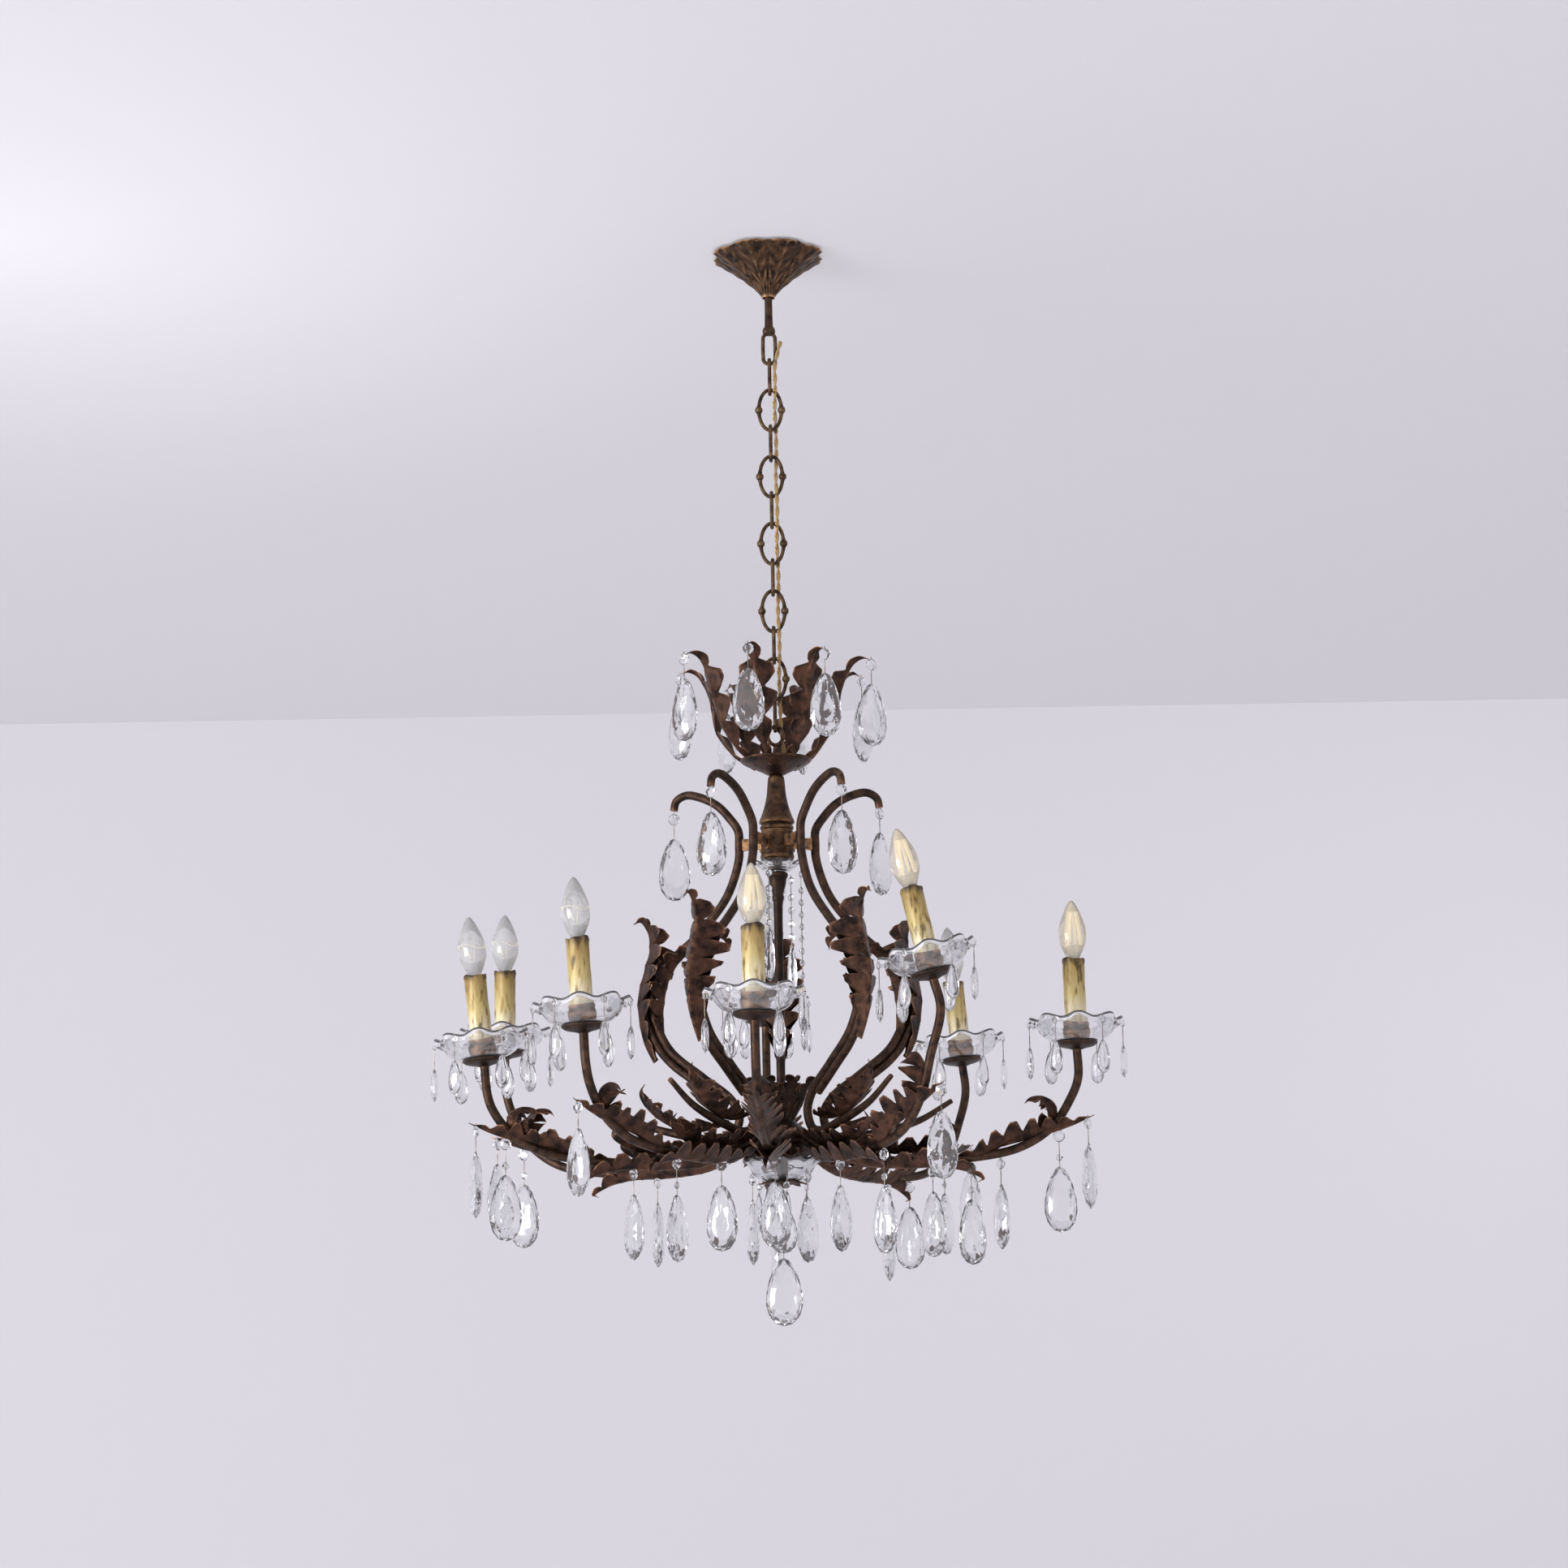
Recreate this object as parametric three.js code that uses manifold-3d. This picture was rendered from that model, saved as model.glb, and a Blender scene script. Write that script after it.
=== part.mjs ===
// Hanging chandelier of bent iron tube, pressed leaves, candle lamps and cut glass drops.
// Millimetres, +Z up. The origin is on the ceiling, at the top face of the ceiling bar, and all hangs below.
// Azimuths are in degrees from the front (-Y), growing towards +X.
import * as THREE from 'three';
import { mergeVertices } from 'three/addons/utils/BufferGeometryUtils.js';
import Module from 'manifold-3d';

const wasm = await Module();
wasm.setup();

// Gap between pieces that touch
const fitGap = 0.3;

// Ceiling bar, stem and canopy
const barLength = 96;
const barWidth = 22;
const barThickness = 3;
const stemDiameter = 9;
const stemLength = 98;
const stemNutDiameter = 15;
const stemNutHeight = 9;
const stemCapHeight = 3;
const canopyDiameter = 134;
const canopyHeight = 52;
const canopyWall = 1.6;
const canopyTopGap = 0.5;
const canopyLobes = 8;
const canopyLobeDepth = 5;
const canopyNeckDiameter = 15;

// Chain
const linkWire = 4.5;
const largeLinkLength = 53.5;
const largeLinkWidth = 31;
const smallLinkLength = 46;
const smallLinkWidth = 20;
const largeLinkCount = 5;
const linkBeadDiameter = 9.4;
const stemRingLength = 42;
const stemRingWidth = 19;
const eyeRingLength = 26;
const eyeRingWidth = 22;

// Flex woven through the chain
const flexDiameter = 5;
const flexSide = 6.4;
const flexWeave = 8;
const flexStartDrop = 8;
const flexEntry = 16;

// Crown: cup, baluster neck and leaves
const crownRimDrop = 15.6;
const crownRimDiameter = 82;
const crownCupDepth = 10;
const crownWall = 2.4;
const neckDiameter = 22;
const neckDrop = 41;
const bellDiameter = 40;
const bellDrop = 31;
const collarDiameter = 37;
const collarHeight = 42;
const crownLeafCount = 8;
const crownLeafWidth = 28;
const crownLeafTurn = 30;
const crownTipReach = 116;
const crownTipRise = 112;

// Column, glass dishes and hub
const upperDishDiameter = 54;
const upperDishDepth = 11;
const coneDiameter = 24;
const coneHeight = 36;
const columnDiameter = 10;
const hubDiameter = 62;
const hubHeight = 46;
const hubTopDrop = 18;
const lowerDishDiameter = 92;
const lowerDishDepth = 24;
const dishWall = 3;
const tailNutDiameter = 20;
const tailNutHeight = 7;

// Lyre scrolls that carry the cage
const lyreCount = 5;
const swingingLyre = 3;
const lyreTube = 10;
const lyreCollarReach = 46;
const lyreHookReach = 122;
const lyreHookRise = 43;
const lyreHookCurl = 17;
const lyreBulgeReach = 154;
const lyreBulgeDrop = 157;
const lyreWaistReach = 54;
const lyreWaistDrop = 122;
const lyreTurnDrop = 36;
const lyreTailReach = 205;
const lyreTailRise = 44;
const spacerHeight = 14;
const lyreLeafWidth = 54;
const lyreRodGap = 9.4;
const lyreRodStart = 0.42;
const lyreRodEnd = 0.7;

// Lamp arms
const armTube = 10;
const armReach = 330;
const armRise = 140;
const tubeSides = 6;
const armRootDrop = 20;
const armDipDrop = 29;
const armLeafWidth = 42;
const elbowLeafWidth = 32;
const bendLeafWidth = 30;
const leafSheet = 1.4;

// Candle lamps
const panDiameter = 48;
const panHeight = 8;
const nippleDiameter = 10;
const bobecheDiameter = 112;
const bobecheDepth = 28;
const bobecheFlutes = 6;
const bobecheWall = 3;
const sleeveDiameter = 26;
const sleeveWall = 1.5;
const sleeveLength = 93;
const holderDiameter = 19;
const holderHeight = 60;
const holderFloor = 4;
const bulbDiameter = 32;
const bulbLength = 67;
const bulbBaseDiameter = 14;
const bulbBaseLength = 21;
const holderSides = 8;

// Cut glass drops
const beadDiameter = 14;
const smallBeadDiameter = 8.4;
const wireDiameter = 1.8;
const dropTip = 2;
const shortWire = 16;
const longWire = 28;
const smallWire = 20;
const lowestWire = 62;
const largeDropLength = 74;
const largeDropWidth = 46;
const largeDropDepth = 15;
const smallDropLength = 38;
const smallDropWidth = 20;
const smallDropDepth = 12;
const lowestDropLength = 76;
const lowestDropWidth = 52;
const dropsPerBobeche = 6;
const dishDropReach = 34;
const dishDropRise = 10.8;
const dishDropAzimuths = [-90, 54];

// Each lamp's own place, a little crooked with age. Reach and rise are shares of the common ones, rise being
// above the arm's lowest point, and lean is in degrees towards -X. Drops are the places along the arm where a
// large drop hangs, as shares of its reach.
const lamps = [
  { azimuth: -77, reach: 1.025, rise: 0.745, lean: 6, drops: [1.03, 0.93, 0.5] },
  { azimuth: -112, reach: 1.05, rise: 1.005, lean: 0, drops: [1.03, 0.93, 0.45] },
  { azimuth: -40, reach: 0.99, rise: 0.825, lean: 3.5, drops: [1.03, 0.55, 0.32] },
  { azimuth: -5, reach: 0.91, rise: 0.845, lean: 0.5, drops: [0.3] },
  { azimuth: 35, reach: 0.88, rise: 1.205, lean: 12.5, drops: [1.03, 0.66, 0.38] },
  { azimuth: 143, reach: 1.1, rise: 1.035, lean: 5, drops: [1.03, 0.88, 0.68, 0.56] },
  { azimuth: 85, reach: 1.015, rise: 0.85, lean: 0.5, drops: [1.03, 0.93, 0.74, 0.64, 0.5] },
  { azimuth: 183, reach: 1.045, rise: 1.46, lean: 0, drops: [0.9, 0.5] },
];

// Finishes
const agedMetal = { color: 0x4a2e22, roughness: 0.5, metalness: 0.85 };
const copperMetal = { color: 0x7a4e2a, roughness: 0.45, metalness: 0.85 };
const flexCloth = { color: 0x8a6234, roughness: 0.75, metalness: 0.1 };
const clearGlass = { color: 0xe6eef0, roughness: 0.05, metalness: 0, transparent: true, opacity: 0.5 };
const candleGold = { color: 0xc9b05c, roughness: 0.55, metalness: 0.3 };

const group = new THREE.Group();

// Solids

function addPiece(parent, name, geometry, finish) {
  const mesh = new THREE.Mesh(geometry, new THREE.MeshStandardMaterial(finish));
  mesh.name = name;
  parent.add(mesh);
  return mesh;
}

function bare(geometry) {
  const copy = geometry.clone();
  copy.deleteAttribute('normal');
  copy.deleteAttribute('uv');
  return mergeVertices(copy, 1e-4);
}

function signedVolume(geometry) {
  const corners = geometry.attributes.position;
  const index = geometry.index;
  const [a, b, c] = [new THREE.Vector3(), new THREE.Vector3(), new THREE.Vector3()];
  let volume = 0;
  for (let i = 0; i < index.count; i += 3) {
    a.fromBufferAttribute(corners, index.getX(i));
    b.fromBufferAttribute(corners, index.getX(i + 1));
    c.fromBufferAttribute(corners, index.getX(i + 2));
    volume += a.dot(b.cross(c)) / 6;
  }
  return volume;
}

function faceOut(geometry) {
  const solid = bare(geometry);
  if (signedVolume(solid) < 0) {
    const turned = solid.index.array;
    for (let i = 0; i < turned.length; i += 3) {
      [turned[i], turned[i + 1]] = [turned[i + 1], turned[i]];
    }
  }
  return solid;
}

function toManifold(geometry) {
  const solid = faceOut(geometry);
  return new wasm.Manifold(new wasm.Mesh({
    numProp: 3,
    vertProperties: new Float32Array(solid.attributes.position.array),
    triVerts: new Uint32Array(solid.index.array),
  }));
}

function fromManifold(solid) {
  const mesh = solid.getMesh();
  const geometry = new THREE.BufferGeometry();
  geometry.setAttribute('position', new THREE.BufferAttribute(new Float32Array(mesh.vertProperties), 3));
  geometry.setIndex(new THREE.BufferAttribute(new Uint32Array(mesh.triVerts), 1));
  return geometry;
}

function join(first, ...others) {
  let solid = toManifold(first);
  for (const other of others) solid = solid.add(toManifold(other));
  return fromManifold(solid);
}

function lathe(profile, sides) {
  const points = profile.map(([r, z]) => new THREE.Vector2(r, z));
  return faceOut(new THREE.LatheGeometry(points, sides).rotateX(Math.PI / 2));
}

function tube(points, diameter, sides, steps) {
  const section = new THREE.Shape();
  for (let i = 0; i < sides; i++) {
    const turn = (2 * Math.PI * i) / sides;
    const x = (Math.cos(turn) * diameter) / 2;
    const y = (Math.sin(turn) * diameter) / 2;
    if (i === 0) section.moveTo(x, y);
    else section.lineTo(x, y);
  }
  const path = new THREE.CatmullRomCurve3(points, false, 'centripetal');
  return faceOut(new THREE.ExtrudeGeometry(section, { steps, extrudePath: path, bevelEnabled: false }));
}

function at(azimuth, reach, depth) {
  const turn = THREE.MathUtils.degToRad(azimuth);
  return new THREE.Vector3(reach * Math.sin(turn), -reach * Math.cos(turn), -depth);
}

// A wire ring in the XZ plane, oval, or with round ends and straight sides where endReach is its half width.
// The wire swells to sideDiameter at its two sides.
function ovalRing(length, width, wire, sideDiameter, steps, endReach) {
  const sides = 6;
  const ring = new THREE.TorusGeometry(1, 0.5, sides, steps);
  const corners = ring.attributes.position;
  const halfLength = (length - wire) / 2;
  const halfWidth = (width - wire) / 2;
  const bend = endReach ?? halfLength;
  let n = 0;
  for (let j = 0; j <= sides; j++) {
    for (let i = 0; i <= steps; i++) {
      const turn = (2 * Math.PI * (i % steps)) / steps;
      const around = (2 * Math.PI * (j % sides)) / sides;
      const atSide = Math.abs(Math.sin(turn)) < 0.01;
      const radius = (atSide ? sideDiameter : wire) / 2;
      const out = new THREE.Vector2(Math.cos(turn) / halfWidth, Math.sin(turn) / bend).normalize();
      const straight = atSide ? 0 : Math.sign(Math.sin(turn)) * (halfLength - bend);
      const reach = radius * Math.cos(around);
      corners.setXYZ(
        n,
        halfWidth * Math.cos(turn) + reach * out.x,
        radius * Math.sin(around),
        bend * Math.sin(turn) + straight + reach * out.y,
      );
      n += 1;
    }
  }
  return faceOut(ring);
}

// A pressed leaf along a spine. Its edge is lobed, its halves are raised from the midrib.
function leaf(spine, acrossAt, width, stations) {
  const sheet = new THREE.BoxGeometry(1, 2, 1, stations, 2, 1);
  const curve = new THREE.CatmullRomCurve3(spine, false, 'centripetal');
  const corners = sheet.attributes.position;
  for (let i = 0; i < corners.count; i++) {
    const along = corners.getX(i) + 0.5;
    const side = corners.getY(i);
    const face = corners.getZ(i);
    const point = curve.getPointAt(along);
    const forward = curve.getTangentAt(along);
    const across = acrossAt.clone().addScaledVector(forward, -acrossAt.dot(forward)).normalize();
    const up = new THREE.Vector3().crossVectors(forward, across);
    const station = Math.round(along * stations);
    const lobe = station % 2 === 0 ? 0.62 : 1;
    const swell = Math.pow(Math.sin(Math.PI * (0.1 + 0.86 * along)), 0.7);
    const half = (width / 2) * swell * lobe;
    point.addScaledVector(across, side * half);
    point.addScaledVector(up, face * leafSheet + Math.abs(side) * half * 0.35);
    corners.setXYZ(i, point.x, point.y, point.z);
  }
  return faceOut(sheet);
}

// A glass drop on its bead and wire, hung from the origin, flat towards its local Y.
function drop(length, width, thickness, bead, wireLength, sides) {
  const top = -bead - wireLength;
  const profile = [
    [0, dropTip],
    [bead / 2, -bead / 2],
    [wireDiameter / 2, top],
    [width / 2, top - length * 0.62],
    [0, top - length],
  ];
  const solid = lathe(profile, sides);
  const corners = solid.attributes.position;
  for (let i = 0; i < corners.count; i++) {
    if (corners.getZ(i) < top - 1) corners.setY(i, (corners.getY(i) * thickness) / width);
  }
  return solid;
}

// A large drop turned to its azimuth and hung from a point
function largeDrop(azimuth, point, wireLength, twist) {
  const solid = drop(largeDropLength, largeDropWidth, largeDropDepth, beadDiameter, wireLength, 6);
  solid.rotateZ(THREE.MathUtils.degToRad(azimuth + twist));
  return solid.translate(point.x, point.y, point.z);
}

// Ceiling bar with the stem screwed into it

const bar = new THREE.BoxGeometry(barLength, barWidth, barThickness).translate(0, 0, -barThickness / 2);
addPiece(group, 'ceiling_bar', faceOut(bar), agedMetal);

const stemRingCentre = -stemLength - stemRingLength / 2 + linkWire;
const stemTop = -barThickness - fitGap;
const stemRod = lathe([
  [0, stemTop],
  [stemNutDiameter / 2, stemTop],
  [stemNutDiameter / 2, stemTop - stemCapHeight],
  [stemDiameter / 2, stemTop - stemCapHeight],
  [stemDiameter / 2, -stemLength + stemNutHeight],
  [stemNutDiameter / 2, -stemLength + stemNutHeight],
  [stemNutDiameter / 2, -stemLength],
  [0, -stemLength],
], 10);
const stemRingEnd = (stemRingWidth - linkWire) / 2;
const stemRing = ovalRing(stemRingLength, stemRingWidth, linkWire, linkWire, 16, stemRingEnd);
stemRing.translate(0, 0, stemRingCentre);
addPiece(group, 'stem', join(stemRod, stemRing), agedMetal);

// Canopy: a pressed cone whose rim is lobed like leaf tips

function canopyShell() {
  const rim = -canopyTopGap;
  const foot = rim - canopyHeight;
  const bore = stemDiameter / 2 + 0.6;
  const outer = canopyDiameter / 2;
  const profile = [
    [bore, foot],
    [canopyNeckDiameter / 2, foot],
    [canopyNeckDiameter / 2 + 4, foot + 9],
    [outer * 0.5, rim - canopyHeight * 0.48],
    [outer * 0.86, rim - 12],
    [outer, rim],
    [outer - canopyWall, rim],
    [outer * 0.86 - canopyWall, rim - 10],
    [outer * 0.5 - canopyWall, rim - canopyHeight * 0.45],
    [canopyNeckDiameter / 2 + 1, foot + 11],
    [bore, foot + 6],
    [bore, foot],
  ];
  const shell = lathe(profile, canopyLobes * 2);
  const corners = shell.attributes.position;
  for (let i = 0; i < corners.count; i++) {
    const [x, y, z] = [corners.getX(i), corners.getY(i), corners.getZ(i)];
    const share = Math.max(0, (Math.hypot(x, y) / outer - 0.5) * 2);
    const wave = 1 - (share * canopyLobeDepth * (1 - Math.cos(canopyLobes * Math.atan2(y, x)))) / 2 / outer;
    corners.setXYZ(i, x * wave, y * wave, z);
  }
  return shell;
}
addPiece(group, 'canopy', canopyShell(), copperMetal);

// Chain: small links edge-on and large links facing, each hung on the one above

const smallReach = smallLinkLength / 2 - linkWire / 2;
const largeReach = largeLinkLength / 2 - linkWire / 2;
const barSpacing = linkWire + fitGap;
const stemBar = stemRingCentre - (stemRingLength - linkWire) / 2;
let carryingBar = stemBar;
const largeCentres = [];
const smallCentres = [];
for (let i = 0; i < largeLinkCount * 2 + 1; i++) {
  const isLarge = i % 2 === 1;
  const reach = isLarge ? largeReach : smallReach;
  const centre = carryingBar + barSpacing - reach;
  const ring = isLarge
    ? ovalRing(largeLinkLength, largeLinkWidth, linkWire, linkBeadDiameter, 16)
    : ovalRing(smallLinkLength, smallLinkWidth, linkWire, linkWire, 12, (smallLinkWidth - linkWire) / 2);
  const link = addPiece(group, `chain_link_${i + 1}`, ring, agedMetal);
  link.position.z = centre;
  if (!isLarge) link.rotation.z = Math.PI / 2;
  (isLarge ? largeCentres : smallCentres).push(centre);
  carryingBar = centre - reach;
}

// Heights down the column

const eyeCentre = carryingBar + barSpacing - (eyeRingLength - linkWire) / 2;
const eyeFoot = eyeCentre - eyeRingLength / 2;
const rimDepth = -eyeFoot + crownRimDrop;
const cupFloor = rimDepth + crownCupDepth;
const neckDepth = rimDepth + neckDrop;
const bellDepth = neckDepth + bellDrop;
const collarTop = bellDepth + 4;
const collarFoot = collarTop + collarHeight;
const lyreHookDepth = collarTop - lyreHookRise;
const lyreBulgeDepth = collarFoot + lyreBulgeDrop;
const lyreWaistDepth = lyreBulgeDepth + lyreWaistDrop;
const hubTopDepth = lyreWaistDepth + hubTopDrop;
const armRootDepth = hubTopDepth + armRootDrop;
const armDipDepth = armRootDepth + armDipDrop;

// Flex: down beside the stem ring, then from side to side through each large link

const flexPoints = [new THREE.Vector3(stemRingWidth / 2 + 4, 0, -stemLength - flexStartDrop)];
for (let i = 0; i < smallCentres.length; i++) {
  const side = i % 2 === 0 ? -1 : 1;
  flexPoints.push(new THREE.Vector3(flexSide, side * flexWeave, smallCentres[i] + 10));
  flexPoints.push(new THREE.Vector3(flexSide, side * flexWeave, smallCentres[i] - 10));
  if (i < largeCentres.length) flexPoints.push(new THREE.Vector3(flexSide - 1, 0, largeCentres[i]));
}
flexPoints.push(new THREE.Vector3(flexSide + 3, flexWeave + 1, -cupFloor + flexEntry));
flexPoints.push(new THREE.Vector3(flexSide + 3, flexWeave + 1, -cupFloor + crownWall + fitGap));
addPiece(group, 'flex', tube(flexPoints, flexDiameter, 8, 36), flexCloth);

// Crown cup with its eye, pressed leaves and thin crystal arms

function crownCup() {
  const rim = crownRimDiameter / 2;
  const neck = neckDiameter / 2;
  return lathe([
    [0, -cupFloor - 8],
    [neck - 2, -cupFloor - 8],
    [rim * 0.55, -cupFloor],
    [rim, -rimDepth - 1],
    [rim, -rimDepth + 1],
    [rim * 0.55, -cupFloor + crownWall],
    [6, -cupFloor + crownWall],
    [3, -cupFloor + 8],
    [3, eyeFoot + 1],
    [0, eyeFoot + 1],
  ], 10);
}

function crownLeaf(azimuth) {
  const spine = [
    at(azimuth, crownRimDiameter * 0.3, cupFloor - 1),
    at(azimuth, crownTipReach * 0.46, rimDepth - crownTipRise * 0.14),
    at(azimuth, crownTipReach * 0.64, rimDepth - crownTipRise * 0.42),
    at(azimuth, crownTipReach * 0.74, rimDepth - crownTipRise * 0.76),
    at(azimuth, crownTipReach, rimDepth - crownTipRise),
  ];
  return leaf(spine, at(azimuth + 90, 1, 0), crownLeafWidth, 5);
}

function crownDrop(azimuth) {
  const tip = at(azimuth, crownTipReach - 2, rimDepth - crownTipRise + 1);
  return largeDrop(azimuth, tip, shortWire, 0);
}

const crownStep = 360 / crownLeafCount;
const eyeRing = ovalRing(eyeRingLength, eyeRingWidth, linkWire, linkWire, 12);
const crownSolids = [eyeRing.translate(0, 0, eyeCentre)];
for (let i = 0; i < crownLeafCount; i++) {
  const azimuth = crownLeafTurn + i * crownStep;
  crownSolids.push(crownLeaf(azimuth));
  crownSolids.push(crownDrop(azimuth));
}
addPiece(group, 'crown', join(crownCup(), ...crownSolids), agedMetal);

// Baluster: bell neck, collar drum and the spacers that reach the lyres

function balusterSolid() {
  const neck = neckDiameter / 2;
  const bell = bellDiameter / 2;
  const collar = collarDiameter / 2;
  const top = -cupFloor - 8 - fitGap;
  const body = lathe([
    [0, top],
    [neck - 2, top],
    [neck - 1, -neckDepth],
    [neck + 3, -neckDepth - 14],
    [bell, -bellDepth + 2],
    [bell, -bellDepth],
    [collar - 2, -bellDepth - 1],
    [collar, -collarTop],
    [collar, -collarFoot],
    [0, -collarFoot],
  ], 12);
  const spacers = [];
  for (let i = 0; i < lyreCount; i++) {
    const flat = (lyreTube / 2) * Math.cos(Math.PI / tubeSides);
    const length = lyreCollarReach - flat - fitGap - collar + 4;
    const spacer = new THREE.BoxGeometry(6, length, spacerHeight);
    spacer.translate(0, -(collar - 4 + length / 2), -(collarTop + collarFoot) / 2);
    spacer.rotateZ(THREE.MathUtils.degToRad(lyreAzimuth(i)));
    spacers.push(spacer);
  }
  return join(body, ...spacers);
}

function lyreAzimuth(i) {
  return (360 / lyreCount) * (i + 0.5);
}
addPiece(group, 'baluster', balusterSolid(), agedMetal);

// Glass dishes

function glassDish(diameter, depth, bore, topDepth, flutes) {
  const rim = diameter / 2;
  const foot = -topDepth - depth;
  const profile = [
    [bore / 2, foot],
    [rim * 0.6, foot + depth * 0.16],
    [rim, -topDepth],
    [rim - dishWall * 0.8, -topDepth],
    [rim * 0.56, foot + depth * 0.16 + dishWall],
    [bore / 2, foot + dishWall],
    [bore / 2, foot],
  ];
  const dish = lathe(profile, flutes * 2);
  const corners = dish.attributes.position;
  for (let i = 0; i < corners.count; i++) {
    const [x, y] = [corners.getX(i), corners.getY(i)];
    const share = Math.max(0, Math.hypot(x, y) / rim - 0.5);
    const wave = 1 - share * 0.09 * (1 - Math.cos(flutes * Math.atan2(y, x)));
    corners.setX(i, x * wave);
    corners.setY(i, y * wave);
  }
  return dish;
}

const upperDishTop = collarFoot + fitGap;
const columnBore = columnDiameter + 1;
addPiece(
  group,
  'upper_dish',
  glassDish(upperDishDiameter, upperDishDepth, columnBore, upperDishTop + 1, 8),
  clearGlass,
);

const upperDishFoot = upperDishTop + 1 + upperDishDepth;
const hubFoot = hubTopDepth + hubHeight;
const lowerDishTop = hubFoot + fitGap;
const lowerDishFoot = lowerDishTop + lowerDishDepth;
const columnFoot = lowerDishFoot + tailNutHeight + fitGap;

// Column rod from the collar to the nut under the lower dish

function columnSolid() {
  const rod = columnDiameter / 2;
  const cone = coneDiameter / 2;
  const coneTop = -upperDishFoot - fitGap;
  return lathe([
    [0, -collarFoot - fitGap],
    [rod, -collarFoot - fitGap],
    [rod, coneTop],
    [cone, coneTop],
    [cone * 0.8, coneTop - coneHeight * 0.4],
    [rod, coneTop - coneHeight],
    [rod, -lowerDishFoot - fitGap],
    [tailNutDiameter / 2, -lowerDishFoot - fitGap],
    [tailNutDiameter / 2 - 2, -columnFoot],
    [0, -columnFoot],
  ], 10);
}
addPiece(group, 'column', columnSolid(), agedMetal);

function hubSolid() {
  const outer = hubDiameter / 2;
  const bore = columnBore / 2;
  return lathe([
    [bore, -hubTopDepth],
    [outer * 0.45, -hubTopDepth],
    [outer * 0.62, -hubTopDepth - hubHeight * 0.12],
    [outer, -hubTopDepth - hubHeight * 0.3],
    [outer, -hubTopDepth - hubHeight * 0.62],
    [outer * 0.5, -hubFoot + 3],
    [outer * 0.4, -hubFoot],
    [bore, -hubFoot],
    [bore, -hubTopDepth],
  ], 24);
}
addPiece(group, 'hub', hubSolid(), agedMetal);

// Lower glass dish, with two large drops under its flutes

function lowerDishSolid() {
  const dish = glassDish(lowerDishDiameter, lowerDishDepth, columnBore, lowerDishTop, 10);
  const drops = dishDropAzimuths.map((azimuth) => {
    return largeDrop(azimuth, at(azimuth, dishDropReach, lowerDishFoot - dishDropRise), shortWire, 0);
  });
  return join(dish, ...drops);
}
addPiece(group, 'lower_dish', lowerDishSolid(), clearGlass);

// Lowest drop, hung under the column nut

const lowestTop = -columnFoot - fitGap - dropTip;
const spear = drop(lowestDropLength, lowestDropWidth, largeDropDepth, beadDiameter, lowestWire, 8);
spear.translate(0, 0, lowestTop);
addPiece(group, 'lowest_drop', spear, clearGlass);

// Lyre scrolls with a leaf on the bulge

function lyreSpine() {
  const turnDepth = lyreWaistDepth + lyreTurnDrop;
  return [
    at(0, lyreHookReach + 3, lyreHookDepth + lyreHookCurl),
    at(0, lyreHookReach, lyreHookDepth + 6),
    at(0, lyreHookReach - 12, lyreHookDepth),
    at(0, lyreHookReach - 30, lyreHookDepth + 4),
    at(0, lyreHookReach - 50, lyreHookDepth + 15),
    at(0, lyreCollarReach + 11, lyreHookDepth + 31),
    at(0, lyreCollarReach + 0.7, collarTop + 4),
    at(0, lyreCollarReach, (collarTop + collarFoot) / 2),
    at(0, lyreCollarReach + 0.7, collarFoot - 4),
    at(0, lyreCollarReach + 16, collarFoot + 38),
    at(0, (lyreCollarReach + lyreBulgeReach) / 2, collarFoot + 82),
    at(0, lyreBulgeReach - 10, lyreBulgeDepth - 36),
    at(0, lyreBulgeReach, lyreBulgeDepth),
    at(0, lyreBulgeReach - 19, lyreBulgeDepth + 51),
    at(0, (lyreWaistReach + lyreBulgeReach) / 2 - 9, lyreWaistDepth - 36),
    at(0, lyreWaistReach + 6, lyreWaistDepth - 8),
    at(0, lyreWaistReach - 4, turnDepth - 24),
    at(0, lyreWaistReach + 4, turnDepth - 3),
    at(0, lyreWaistReach + 22, turnDepth + 2),
    at(0, lyreWaistReach + 46, turnDepth - 2),
    at(0, (lyreWaistReach + lyreTailReach) / 2 + 34, turnDepth - lyreTailRise * 0.45),
    at(0, lyreTailReach, turnDepth - lyreTailRise),
  ];
}

function lyreLeaf() {
  const outside = lyreBulgeReach + lyreTube / 2;
  const spine = [
    at(0, outside - 9, lyreBulgeDepth + 64),
    at(0, outside + 8, lyreBulgeDepth + 24),
    at(0, outside + 11, lyreBulgeDepth - 8),
    at(0, outside, lyreBulgeDepth - 44),
    at(0, outside - 4, lyreBulgeDepth - 72),
    at(0, outside + 10, lyreBulgeDepth - 98),
  ];
  return leaf(spine, new THREE.Vector3(1, 0, 0), lyreLeafWidth, 6);
}

// A second rod, side by side with the tube from the leaf down to the bottom curl
function lyreRod() {
  const curve = new THREE.CatmullRomCurve3(lyreSpine(), false, 'centripetal');
  const places = 8;
  const points = [];
  for (let i = 0; i <= places; i++) {
    const share = lyreRodStart + ((lyreRodEnd - lyreRodStart) * i) / places;
    const forward = curve.getTangentAt(share);
    const aside = new THREE.Vector3(0, forward.z, -forward.y);
    points.push(curve.getPointAt(share).addScaledVector(aside, lyreRodGap));
  }
  return tube(points, lyreTube, tubeSides, 10);
}

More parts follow.
